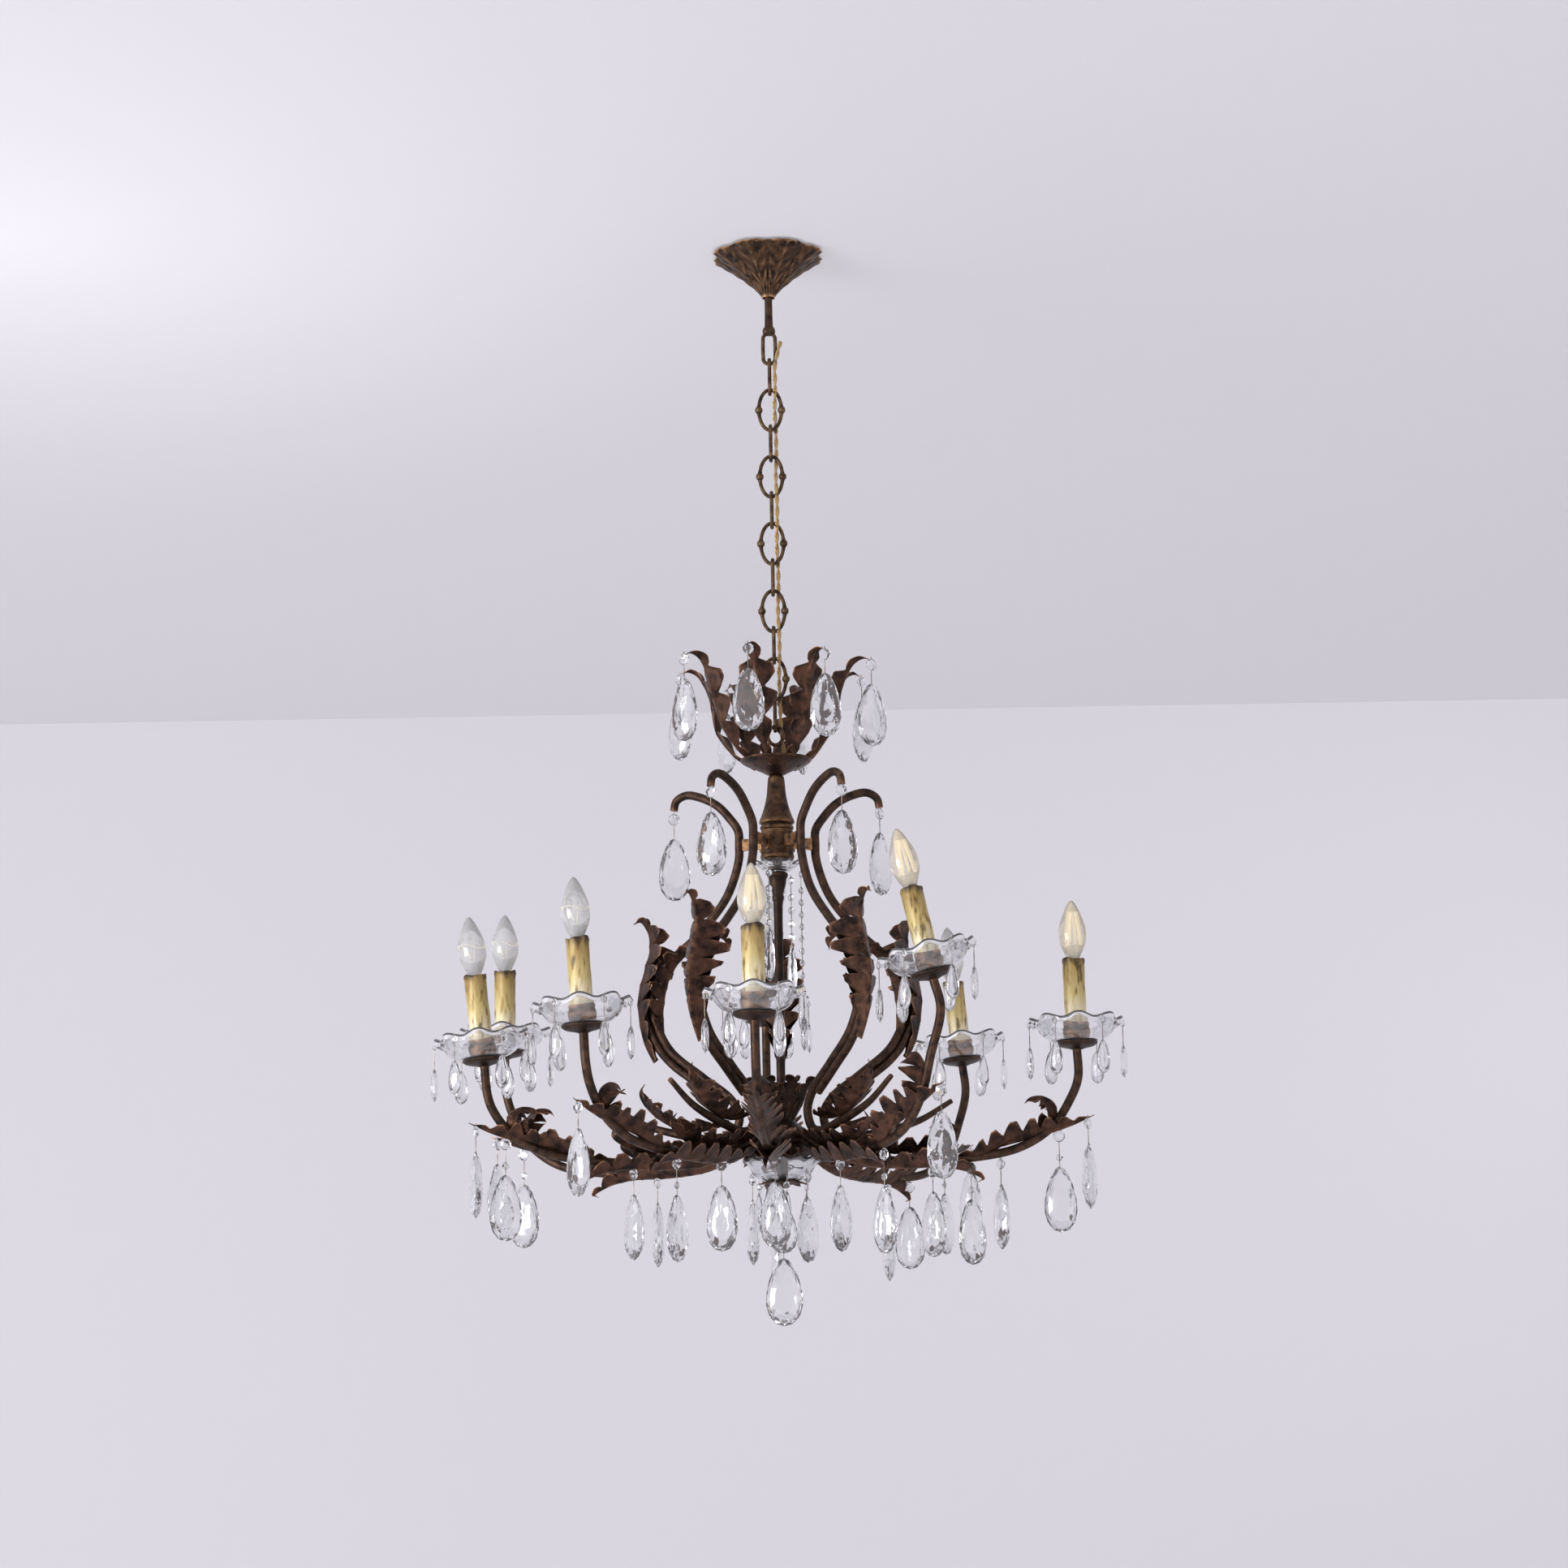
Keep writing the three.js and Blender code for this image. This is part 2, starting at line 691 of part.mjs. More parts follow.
const hookTip = lyreSpine()[0];
const lyreBare = join(tube(lyreSpine(), lyreTube, tubeSides, 26), lyreRod(), lyreLeaf());
const fixedDrop = largeDrop(0, hookTip.clone().setZ(hookTip.z + 1), shortWire, 0);
const swingDrop = largeDrop(0, hookTip.clone().setZ(hookTip.z - fitGap - dropTip), shortWire, 0);
for (let i = 0; i < lyreCount; i++) {
  const turn = THREE.MathUtils.degToRad(lyreAzimuth(i));
  const swings = i === swingingLyre;
  const lyre = addPiece(group, `lyre_${i + 1}`, swings ? lyreBare : join(lyreBare, fixedDrop), agedMetal);
  lyre.rotation.z = turn;
  if (swings) addPiece(group, 'hook_drop', swingDrop, clearGlass).rotation.z = turn;
}

// Lamp arms: tube from the hub, a long leaf along it, an elbow leaf, a pan and the lampholder

function lampMatrix(lamp) {
  const place = at(lamp.azimuth, lamp.reach * armReach, armDipDepth - lamp.rise * armRise);
  const lean = new THREE.Matrix4().makeRotationY(-THREE.MathUtils.degToRad(lamp.lean));
  return new THREE.Matrix4().makeTranslation(place.x, place.y, place.z).multiply(lean);
}

function armSpine(lamp) {
  const azimuth = lamp.azimuth;
  const reach = lamp.reach * armReach;
  const rise = lamp.rise * armRise;
  const matrix = lampMatrix(lamp);
  const under = new THREE.Vector3(0, 0, -32).applyMatrix4(matrix);
  const end = new THREE.Vector3(0, 0, 2).applyMatrix4(matrix);
  return [
    at(azimuth, hubDiameter / 2 + fitGap, armRootDepth),
    at(azimuth, hubDiameter / 2 + 8, armRootDepth),
    at(azimuth, hubDiameter / 2 + 34, armRootDepth + armDipDrop / 2),
    at(azimuth, reach * 0.36, armDipDepth),
    at(azimuth, reach * 0.62, armDipDepth),
    at(azimuth, reach * 0.8, armDipDepth - rise * 0.09),
    at(azimuth, reach * 0.91, armDipDepth - rise * 0.28),
    at(azimuth, reach * 0.97, armDipDepth - rise * 0.52),
    under,
    end,
  ];
}

function armLeaf(lamp) {
  const azimuth = lamp.azimuth;
  const reach = lamp.reach * armReach;
  const base = armDipDepth;
  const spine = [
    at(azimuth, reach * 0.27, base - 2),
    at(azimuth, reach * 0.42, base + armTube / 2 + 4),
    at(azimuth, reach * 0.58, base + armTube / 2 + 4),
    at(azimuth, reach * 0.7, base + armTube / 2 + 14),
  ];
  return leaf(spine, at(azimuth - 90, 1, 0), armLeafWidth, 6);
}

function elbowSpine(lamp) {
  const azimuth = lamp.azimuth;
  const reach = lamp.reach * armReach;
  const base = armDipDepth - lamp.rise * armRise * 0.26;
  return [
    at(azimuth, reach * 0.76, base + 14),
    at(azimuth, reach * 0.88, base + 6),
    at(azimuth, reach * 0.97, base - 4),
    at(azimuth, reach * 1.05, base - 16),
  ];
}

function elbowLeaf(lamp) {
  return leaf(elbowSpine(lamp), at(lamp.azimuth - 90, 1, 0), elbowLeafWidth, 4);
}

// A leaf inside the arm's bend, its tip curled back towards the hub
function bendLeaf(lamp) {
  const azimuth = lamp.azimuth;
  const reach = lamp.reach * armReach;
  const rise = lamp.rise * armRise;
  const base = armDipDepth - rise * 0.12;
  const spine = [
    at(azimuth, reach * 0.74, base),
    at(azimuth, reach * 0.86, base - rise * 0.1),
    at(azimuth, reach * 0.92, base - rise * 0.28),
    at(azimuth, reach * 0.9, base - rise * 0.4),
    at(azimuth, reach * 0.84, base - rise * 0.42),
  ];
  return leaf(spine, at(azimuth + 90, 1, 0), bendLeafWidth, 4);
}

function panAndHolder() {
  const pan = panDiameter / 2;
  const nipple = nippleDiameter / 2;
  const seat = panHeight + bobecheWall + fitGap * 3;
  const holder = holderDiameter / 2;
  const socket = bulbBaseDiameter / 2 / Math.cos(Math.PI / holderSides) + fitGap;
  const holderFoot = seat + 4;
  const holderTop = seat + holderHeight;
  return lathe([
    [0, 0],
    [armTube / 2 + 2, 0],
    [pan, panHeight],
    [nipple, panHeight],
    [nipple, holderFoot],
    [holder, holderFoot],
    [holder, holderTop],
    [socket, holderTop],
    [socket, holderFoot + holderFloor],
    [0, holderFoot + holderFloor],
  ], holderSides);
}

// The point under a lamp's arm, or under its elbow leaf further out, that is this far along
function underArm(lamp, share) {
  const isLeaf = share > 0.85;
  const curve = new THREE.CatmullRomCurve3(isLeaf ? elbowSpine(lamp) : armSpine(lamp), false, 'centripetal');
  const sought = lamp.reach * armReach * share;
  let nearest = curve.getPointAt(0);
  for (const point of curve.getSpacedPoints(80)) {
    const miss = Math.abs(Math.hypot(point.x, point.y) - sought);
    if (miss < Math.abs(Math.hypot(nearest.x, nearest.y) - sought)) nearest = point;
  }
  return nearest.setZ(nearest.z - (isLeaf ? 0 : armTube / 2 - 1));
}

function armSolid(lamp) {
  const pan = panAndHolder().applyMatrix4(lampMatrix(lamp));
  const drops = lamp.drops.map((share, i) => {
    const wireLength = i % 2 === 0 ? shortWire : longWire;
    return largeDrop(lamp.azimuth, underArm(lamp, share), wireLength, -10 - 75 * i);
  });
  const leaves = [armLeaf(lamp), elbowLeaf(lamp), bendLeaf(lamp)];
  return join(tube(armSpine(lamp), armTube, tubeSides, 14), pan, ...leaves, ...drops);
}

// Glass bobeche with its small drops, in the lamp's own frame

function bobecheSolid() {
  const rim = bobecheDiameter / 2;
  const foot = panHeight + fitGap;
  const top = foot + bobecheDepth;
  const bore = nippleDiameter / 2 + 1;
  const profile = [
    [bore, foot],
    [rim * 0.5, foot + bobecheDepth * 0.08],
    [rim * 0.78, foot + bobecheDepth * 0.55],
    [rim * 0.88, top - bobecheWall],
    [rim, top - bobecheWall],
    [rim, top],
    [rim * 0.84, top],
    [rim * 0.7, foot + bobecheDepth * 0.55],
    [rim * 0.46, foot + bobecheWall],
    [bore, foot + bobecheWall],
    [bore, foot],
  ];
  const dish = lathe(profile, bobecheFlutes * 2);
  const corners = dish.attributes.position;
  for (let i = 0; i < corners.count; i++) {
    const [x, y] = [corners.getX(i), corners.getY(i)];
    const share = Math.max(0, Math.hypot(x, y) / rim - 0.5);
    const wave = 1 - share * 0.08 * (1 - Math.cos(bobecheFlutes * Math.atan2(y, x)));
    corners.setX(i, x * wave);
    corners.setY(i, y * wave);
  }
  return dish;
}

function bobecheWithDrops(lamp) {
  const solids = [];
  const lean = THREE.MathUtils.degToRad(lamp.lean);
  for (let i = 0; i < dropsPerBobeche; i++) {
    const turn = (2 * Math.PI * i) / dropsPerBobeche;
    const reach = (bobecheDiameter / 2) * 0.94;
    const pear = drop(smallDropLength, smallDropWidth, smallDropDepth, smallBeadDiameter, smallWire, 4);
    pear.rotateZ(turn + Math.PI / 2).rotateY(lean);
    const height = panHeight + fitGap + bobecheDepth - bobecheWall;
    solids.push(pear.translate(reach * Math.cos(turn), reach * Math.sin(turn), height));
  }
  return join(bobecheSolid(), ...solids);
}

// Candle sleeve and bulb

function sleeveSolid() {
  const foot = panHeight + bobecheWall + fitGap * 2;
  const outer = sleeveDiameter / 2;
  const inner = outer - sleeveWall;
  return lathe([
    [inner, foot],
    [outer, foot],
    [outer, foot + sleeveLength],
    [inner, foot + sleeveLength],
    [inner, foot],
  ], 10);
}

function bulbSolid() {
  const sleeveTop = panHeight + bobecheWall + fitGap * 2 + sleeveLength;
  const holderTop = panHeight + bobecheWall + fitGap * 3 + holderHeight;
  const base = bulbBaseDiameter / 2;
  const widest = bulbDiameter / 2;
  return lathe([
    [0, holderTop - bulbBaseLength],
    [base, holderTop - bulbBaseLength + 3],
    [base, sleeveTop - 2],
    [widest, sleeveTop + bulbLength * 0.33],
    [widest * 0.7, sleeveTop + bulbLength * 0.68],
    [0, sleeveTop + bulbLength],
  ], 10);
}

lamps.forEach((lamp, i) => {
  addPiece(group, `arm_${i + 1}`, armSolid(lamp), agedMetal);
  const seat = new THREE.Group();
  seat.applyMatrix4(lampMatrix(lamp));
  addPiece(seat, `bobeche_${i + 1}`, bobecheWithDrops(lamp), clearGlass);
  addPiece(seat, `candle_sleeve_${i + 1}`, sleeveSolid(), candleGold);
  addPiece(seat, `bulb_${i + 1}`, bulbSolid(), clearGlass);
  group.add(seat);
});

export default group;
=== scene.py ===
import math
import random

import bmesh
import bpy
import numpy as np
from mathutils import Matrix, Vector


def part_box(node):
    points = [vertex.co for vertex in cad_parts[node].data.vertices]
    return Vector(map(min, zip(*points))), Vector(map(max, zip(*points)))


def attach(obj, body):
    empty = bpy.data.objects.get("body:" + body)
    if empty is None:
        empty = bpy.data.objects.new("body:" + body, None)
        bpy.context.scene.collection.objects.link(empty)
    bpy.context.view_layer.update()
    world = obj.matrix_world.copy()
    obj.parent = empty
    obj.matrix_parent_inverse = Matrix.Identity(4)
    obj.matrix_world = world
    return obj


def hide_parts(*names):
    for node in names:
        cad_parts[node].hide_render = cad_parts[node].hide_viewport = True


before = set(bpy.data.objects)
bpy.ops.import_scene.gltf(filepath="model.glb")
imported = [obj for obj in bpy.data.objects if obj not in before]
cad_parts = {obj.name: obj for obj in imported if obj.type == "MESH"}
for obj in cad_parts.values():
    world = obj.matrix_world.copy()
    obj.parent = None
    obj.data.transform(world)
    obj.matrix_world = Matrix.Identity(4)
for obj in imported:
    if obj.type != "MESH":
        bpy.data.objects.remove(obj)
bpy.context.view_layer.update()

mm = 0.001
rng = random.Random(7)
print("frame loaded:", len(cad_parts), "nodes")

# Viewing place: below the fixture, looking up at it, as in the photograph
view = {
    "distance": 4.5,
    "below": 1.569,
    "side": 0.009,
    "pitch": 11.7,
    "roll": 0.95,
    "focalPixels": 4929,
    "imageWidth": 1932,
    "sensor": 36,
}


def addCamera():
    camera = bpy.data.objects.new("camera", bpy.data.cameras.new("camera"))
    bpy.context.scene.collection.objects.link(camera)
    camera.data.sensor_width = view["sensor"]
    camera.data.lens = view["sensor"] * view["focalPixels"] / view["imageWidth"]
    camera.data.clip_end = 50
    place = Matrix.Translation((view["side"], -view["distance"], -view["below"]))
    tilt = Matrix.Rotation(math.radians(90 + view["pitch"]), 4, "X")
    turn = Matrix.Rotation(math.radians(-view["roll"]), 4, "Z")
    camera.matrix_world = place @ tilt @ turn
    bpy.context.scene.camera = camera


addCamera()


# Node groups shared by several finishes

def newGroup(name, inputs, outputs):
    group = bpy.data.node_groups.new(name, "ShaderNodeTree")
    for label, kind, value in inputs:
        socket = group.interface.new_socket(name=label, in_out="INPUT", socket_type=kind)
        socket.default_value = value
    for label, kind in outputs:
        group.interface.new_socket(name=label, in_out="OUTPUT", socket_type=kind)
    return group, group.nodes.new("NodeGroupInput"), group.nodes.new("NodeGroupOutput")


def addNode(tree, kind, **values):
    node = tree.nodes.new(kind)
    for key, value in values.items():
        if hasattr(node, key):
            setattr(node, key, value)
        else:
            node.inputs[key.replace("_", " ")].default_value = value
    return node


def joinNodes(tree, *joins):
    # Each join is a node, its output, the next node and its input
    for source, output, target, entry in joins:
        tree.links.new(source.outputs[output], target.inputs[entry])


def rampNode(tree, stops):
    node = tree.nodes.new("ShaderNodeValToRGB")
    ramp = node.color_ramp
    while len(ramp.elements) < len(stops):
        ramp.elements.new(0.5)
    for element, (place, colour) in zip(ramp.elements, stops):
        element.position = place
        element.color = (*colour, 1)
    return node


def mixColour(tree, mode="MIX"):
    node = tree.nodes.new("ShaderNodeMix")
    node.data_type = "RGBA"
    node.blend_type = mode
    return node


def buildPatina():
    # Two colours in soft patches, and a fine grain mask
    group, source, result = newGroup(
        "patina",
        [
            ("Dark", "NodeSocketColor", (0.02, 0.01, 0.01, 1)),
            ("Mid", "NodeSocketColor", (0.1, 0.05, 0.03, 1)),
            ("Patch Scale", "NodeSocketFloat", 40.0),
            ("Grain Scale", "NodeSocketFloat", 400.0),
        ],
        [("Colour", "NodeSocketColor"), ("Grain", "NodeSocketFloat")],
    )
    place = group.nodes.new("ShaderNodeTexCoord")
    patches = addNode(group, "ShaderNodeTexNoise", Detail=5.0, Roughness=0.62)
    grain = addNode(group, "ShaderNodeTexNoise", Detail=3.0, Roughness=0.7)
    spread = addNode(group, "ShaderNodeMapRange", From_Min=0.38, From_Max=0.64)
    mix = mixColour(group)
    joinNodes(
        group, (place, "Object", patches, "Vector"), (place, "Object", grain, "Vector"),
        (source, "Patch Scale", patches, "Scale"), (source, "Grain Scale", grain, "Scale"),
        (patches, "Fac", spread, "Value"), (spread, "Result", mix, "Factor"), (source, "Dark", mix, "A"),
        (source, "Mid", mix, "B"), (mix, "Result", result, "Colour"), (grain, "Fac", result, "Grain"),
    )
    return group


def buildEdgeWearAndHighlight():
    # Rubbed edges and high spots, broken up by noise: partly real wear, partly a painted highlight where the bright
    # bare colour shows
    group, source, result = newGroup(
        "edgeWearAndHighlight",
        [
            ("Low", "NodeSocketFloat", 0.5),
            ("High", "NodeSocketFloat", 0.58),
            ("Breakup Scale", "NodeSocketFloat", 120.0),
        ],
        [("WearAndHighlight", "NodeSocketFloat")],
    )
    place = group.nodes.new("ShaderNodeTexCoord")
    shape = group.nodes.new("ShaderNodeNewGeometry")
    breakup = addNode(group, "ShaderNodeTexNoise", Detail=4.0)
    edge = group.nodes.new("ShaderNodeMapRange")
    holes = addNode(group, "ShaderNodeMapRange", From_Min=0.36, From_Max=0.6)
    both = addNode(group, "ShaderNodeMath", operation="MULTIPLY")
    joinNodes(
        group, (place, "Object", breakup, "Vector"), (source, "Breakup Scale", breakup, "Scale"),
        (shape, "Pointiness", edge, "Value"), (source, "Low", edge, "From Min"), (source, "High", edge, "From Max"),
        (breakup, "Fac", holes, "Value"), (edge, "Result", both, 0), (holes, "Result", both, 1),
        (both, "Value", result, "WearAndHighlight"),
    )
    return group


patinaGroup = buildPatina()
wearAndHighlightGroup = buildEdgeWearAndHighlight()


def startMaterial(name):
    material = bpy.data.materials.new(name)
    material.use_nodes = True
    tree = material.node_tree
    return material, tree, tree.nodes["Principled BSDF"]


def placeGroup(tree, group, **values):
    node = tree.nodes.new("ShaderNodeGroup")
    node.node_tree = group
    for key, value in values.items():
        node.inputs[key.replace("_", " ")].default_value = value
    return node


metalGrain = {"scale": 900, "depth": 0.0006}


def metalMaterial(name, finish):
    material, tree, shader = startMaterial(name)
    patina = placeGroup(
        tree, patinaGroup, Dark=(*finish["dark"], 1), Mid=(*finish["mid"], 1),
        Patch_Scale=finish["patchScale"], Grain_Scale=metalGrain["scale"],
    )
    wearAndHighlight = placeGroup(tree, wearAndHighlightGroup, Low=finish["wearAndHighlightLow"], High=finish["wearAndHighlightHigh"])
    # The bright bare colour on edges and high spots is partly worn metal, partly a painted highlight
    rubAndHighlight = mixColour(tree)
    rubAndHighlight.inputs["B"].default_value = (*finish["bare"], 1)
    rough = addNode(tree, "ShaderNodeMapRange", To_Min=finish["smooth"], To_Max=finish["rough"])
    bump = addNode(tree, "ShaderNodeBump", Strength=finish["bump"], Distance=metalGrain["depth"])
    joinNodes(
        tree, (patina, "Colour", rubAndHighlight, "A"), (wearAndHighlight, "WearAndHighlight", rubAndHighlight, "Factor"), (rubAndHighlight, "Result", shader, "Base Color"),
        (patina, "Grain", rough, "Value"), (rough, "Result", shader, "Roughness"),
        (patina, "Grain", bump, "Height"), (bump, "Normal", shader, "Normal"),
    )
    shader.inputs["Metallic"].default_value = finish["metallic"]
    return material


agedIron = metalMaterial("aged iron", {
    "dark": (0.009, 0.0045, 0.003), "mid": (0.042, 0.021, 0.013), "bare": (0.25, 0.125, 0.065),
    "patchScale": 55, "wearAndHighlightLow": 0.51, "wearAndHighlightHigh": 0.60,
    "smooth": 0.32, "rough": 0.58, "bump": 0.35, "metallic": 0.65,
})
copperLeaf = metalMaterial("copper leaf", {
    "dark": (0.010, 0.0045, 0.003), "mid": (0.105, 0.047, 0.027), "bare": (0.38, 0.19, 0.10),
    "patchScale": 60, "wearAndHighlightLow": 0.515, "wearAndHighlightHigh": 0.61,
    "smooth": 0.30, "rough": 0.54, "bump": 0.35, "metallic": 0.7,
})
# The pressed copper's bare colour is raised so that its relief carries painted highlights
copperSheet = metalMaterial("pressed copper", {
    "dark": (0.008, 0.004, 0.002), "mid": (0.098, 0.050, 0.024), "bare": (0.50, 0.27, 0.13),
    "patchScale": 85, "wearAndHighlightLow": 0.50, "wearAndHighlightHigh": 0.57,
    "smooth": 0.34, "rough": 0.60, "bump": 0.3, "metallic": 0.7,
})
chainMetal = metalMaterial("chain metal", {
    "dark": (0.016, 0.008, 0.005), "mid": (0.065, 0.036, 0.018), "bare": (0.26, 0.16, 0.075),
    "patchScale": 80, "wearAndHighlightLow": 0.50, "wearAndHighlightHigh": 0.60,
    "smooth": 0.34, "rough": 0.6, "bump": 0.3, "metallic": 0.7,
})
pinWire = metalMaterial("pin wire", {
    "dark": (0.05, 0.04, 0.035), "mid": (0.22, 0.18, 0.14), "bare": (0.5, 0.45, 0.38),
    "patchScale": 200, "wearAndHighlightLow": 0.5, "wearAndHighlightHigh": 0.62,
    "smooth": 0.3, "rough": 0.5, "bump": 0.1, "metallic": 0.9,
})


def glassMaterial(name, finish):
    material, tree, shader = startMaterial(name)
    place = tree.nodes.new("ShaderNodeTexCoord")
    smear = addNode(tree, "ShaderNodeTexNoise", Scale=finish["smearScale"], Detail=4.0)
    rough = addNode(
        tree, "ShaderNodeMapRange", From_Min=0.45, From_Max=0.75, To_Min=finish["smooth"], To_Max=finish["rough"]
    )
    bump = addNode(tree, "ShaderNodeBump", Strength=finish["bump"], Distance=0.0008)
    tint = mixColour(tree)
    tint.inputs["A"].default_value = (*finish["clear"], 1)
    tint.inputs["B"].default_value = (*finish["dusty"], 1)
    joinNodes(
        tree, (place, "Object", smear, "Vector"), (smear, "Fac", rough, "Value"),
        (rough, "Result", shader, "Roughness"), (smear, "Fac", bump, "Height"), (bump, "Normal", shader, "Normal"),
        (smear, "Fac", tint, "Factor"), (tint, "Result", shader, "Base Color"),
    )
    shader.inputs["Transmission Weight"].default_value = finish["clearness"]
    shader.inputs["Metallic"].default_value = 0
    shader.inputs["IOR"].default_value = finish["ior"]
    return material


cutGlass = glassMaterial("cut glass", {
    "smearScale": 30, "smooth": 0.0, "rough": 0.02, "bump": 0.02,
    "clear": (0.955, 0.96, 0.97), "dusty": (0.89, 0.90, 0.91), "ior": 1.6, "clearness": 0.96,
})
bulbGlass = glassMaterial("bulb glass", {
    "smearScale": 40, "smooth": 0.02, "rough": 0.14, "bump": 0.01,
    "clear": (0.99, 0.99, 0.99), "dusty": (0.96, 0.96, 0.955), "ior": 1.45, "clearness": 0.8,
})
warmGlass = glassMaterial("warm bulb glass", {
    "smearScale": 40, "smooth": 0.02, "rough": 0.14, "bump": 0.01,
    "clear": (1.0, 0.97, 0.92), "dusty": (0.97, 0.93, 0.86), "ior": 1.45, "clearness": 0.82,
})


def sleeveMaterial():
    # Cream card tube washed with gold towards its top, with dark streaks that run down from a burnt rim
    material, tree, shader = startMaterial("candle gold")
    place = tree.nodes.new("ShaderNodeTexCoord")
    height = tree.nodes.new("ShaderNodeSeparateXYZ")
    stretch = addNode(tree, "ShaderNodeMapping", Scale=(1, 1, 0.22))
    wash = addNode(tree, "ShaderNodeTexNoise", Scale=95.0, Detail=4.0, Roughness=0.6)
    streak = addNode(tree, "ShaderNodeTexNoise", Scale=210.0, Detail=3.0)
    base = rampNode(tree, [
        (0.0, (0.60, 0.50, 0.28)), (0.3, (0.84, 0.76, 0.54)), (0.55, (0.60, 0.48, 0.21)), (0.88, (0.36, 0.25, 0.08)),
        (0.97, (0.04, 0.022, 0.010)),
    ])
    uneven = addNode(tree, "ShaderNodeMath", operation="MULTIPLY_ADD")
    uneven.inputs[1].default_value = 0.34
    shifted = addNode(tree, "ShaderNodeMath", operation="SUBTRACT")
    shifted.inputs[1].default_value = 0.17
    dark = rampNode(tree, [(0.34, (0.10, 0.05, 0.02)), (0.40, (0.70, 0.60, 0.38)), (0.5, (1, 1, 1))])
    both = mixColour(tree, "MULTIPLY")
    both.inputs["Factor"].default_value = 0.8
    bump = addNode(tree, "ShaderNodeBump", Strength=0.4, Distance=0.0008)
    joinNodes(
        tree, (place, "Generated", height, "Vector"), (place, "Object", stretch, "Vector"),
        (stretch, "Vector", wash, "Vector"), (stretch, "Vector", streak, "Vector"), (wash, "Fac", uneven, 0),
        (height, "Z", uneven, 2), (uneven, "Value", shifted, 0), (shifted, "Value", base, "Fac"),
        (streak, "Fac", dark, "Fac"), (base, "Color", both, "A"), (dark, "Color", both, "B"),
        (both, "Result", shader, "Base Color"), (wash, "Fac", bump, "Height"), (bump, "Normal", shader, "Normal"),
    )
    shader.inputs["Roughness"].default_value = 0.45
    shader.inputs["Metallic"].default_value = 0.15
    return material


def flexMaterial():
    # Cloth-covered cord, two strands twisted together
    material, tree, shader = startMaterial("flex cloth")
    place = tree.nodes.new("ShaderNodeTexCoord")
    weave = addNode(tree, "ShaderNodeTexWave", Scale=260.0, Distortion=2.0, Detail=2.0)
    weave.bands_direction = "DIAGONAL"
    colour = rampNode(tree, [(0.2, (0.20, 0.11, 0.035)), (0.8, (0.62, 0.41, 0.15))])
    bump = addNode(tree, "ShaderNodeBump", Strength=0.6, Distance=0.0005)
    joinNodes(
        tree, (place, "Object", weave, "Vector"), (weave, "Fac", colour, "Fac"),
        (colour, "Color", shader, "Base Color"), (weave, "Fac", bump, "Height"), (bump, "Normal", shader, "Normal"),
    )
    shader.inputs["Roughness"].default_value = 0.6
    shader.inputs["Sheen Weight"].default_value = 0.3
    return material


def glowingFilamentMaterial():
    material, tree, shader = startMaterial("filament")
    place = tree.nodes.new("ShaderNodeTexCoord")
    tone = addNode(tree, "ShaderNodeTexNoise", Scale=300.0)
    colour = rampNode(tree, [(0.3, (0.92, 0.80, 0.50)), (0.7, (0.97, 0.91, 0.70))])
    joinNodes(
        tree, (place, "Object", tone, "Vector"), (tone, "Fac", colour, "Fac"),
        (colour, "Color", shader, "Base Color"), (colour, "Color", shader, "Emission Color"),
    )
    # Painted glow: the filament shines by its own emission, though no light is set in the bulbs
    shader.inputs["Emission Strength"].default_value = 0.5
    shader.inputs["Roughness"].default_value = 0.5
    return material


candleGold = sleeveMaterial()
flexCloth = flexMaterial()
filament = glowingFilamentMaterial()
print("materials made")


# Mesh helpers: a bag collects vertices and faces, and becomes one piece

def newBag():
    return {"verts": [], "faces": []}


def addGrid(bag, rings, closedAlong=False, caps=False):
    # rings is a list of equally long point lists, each closed on itself
    start = len(bag["verts"])
    across, count = len(rings[0]), len(rings)
    for ring in rings:
        bag["verts"].extend(tuple(p) for p in ring)
    for i in range(count if closedAlong else count - 1):
        for j in range(across):
            a = start + i * across + j
            b = start + i * across + (j + 1) % across
            c = start + ((i + 1) % count) * across + (j + 1) % across
            d = start + ((i + 1) % count) * across + j
            bag["faces"].append((a, b, c, d))
    if caps:
        bag["faces"].append(tuple(start + j for j in reversed(range(across))))
        bag["faces"].append(tuple(start + (count - 1) * across + j for j in range(across)))


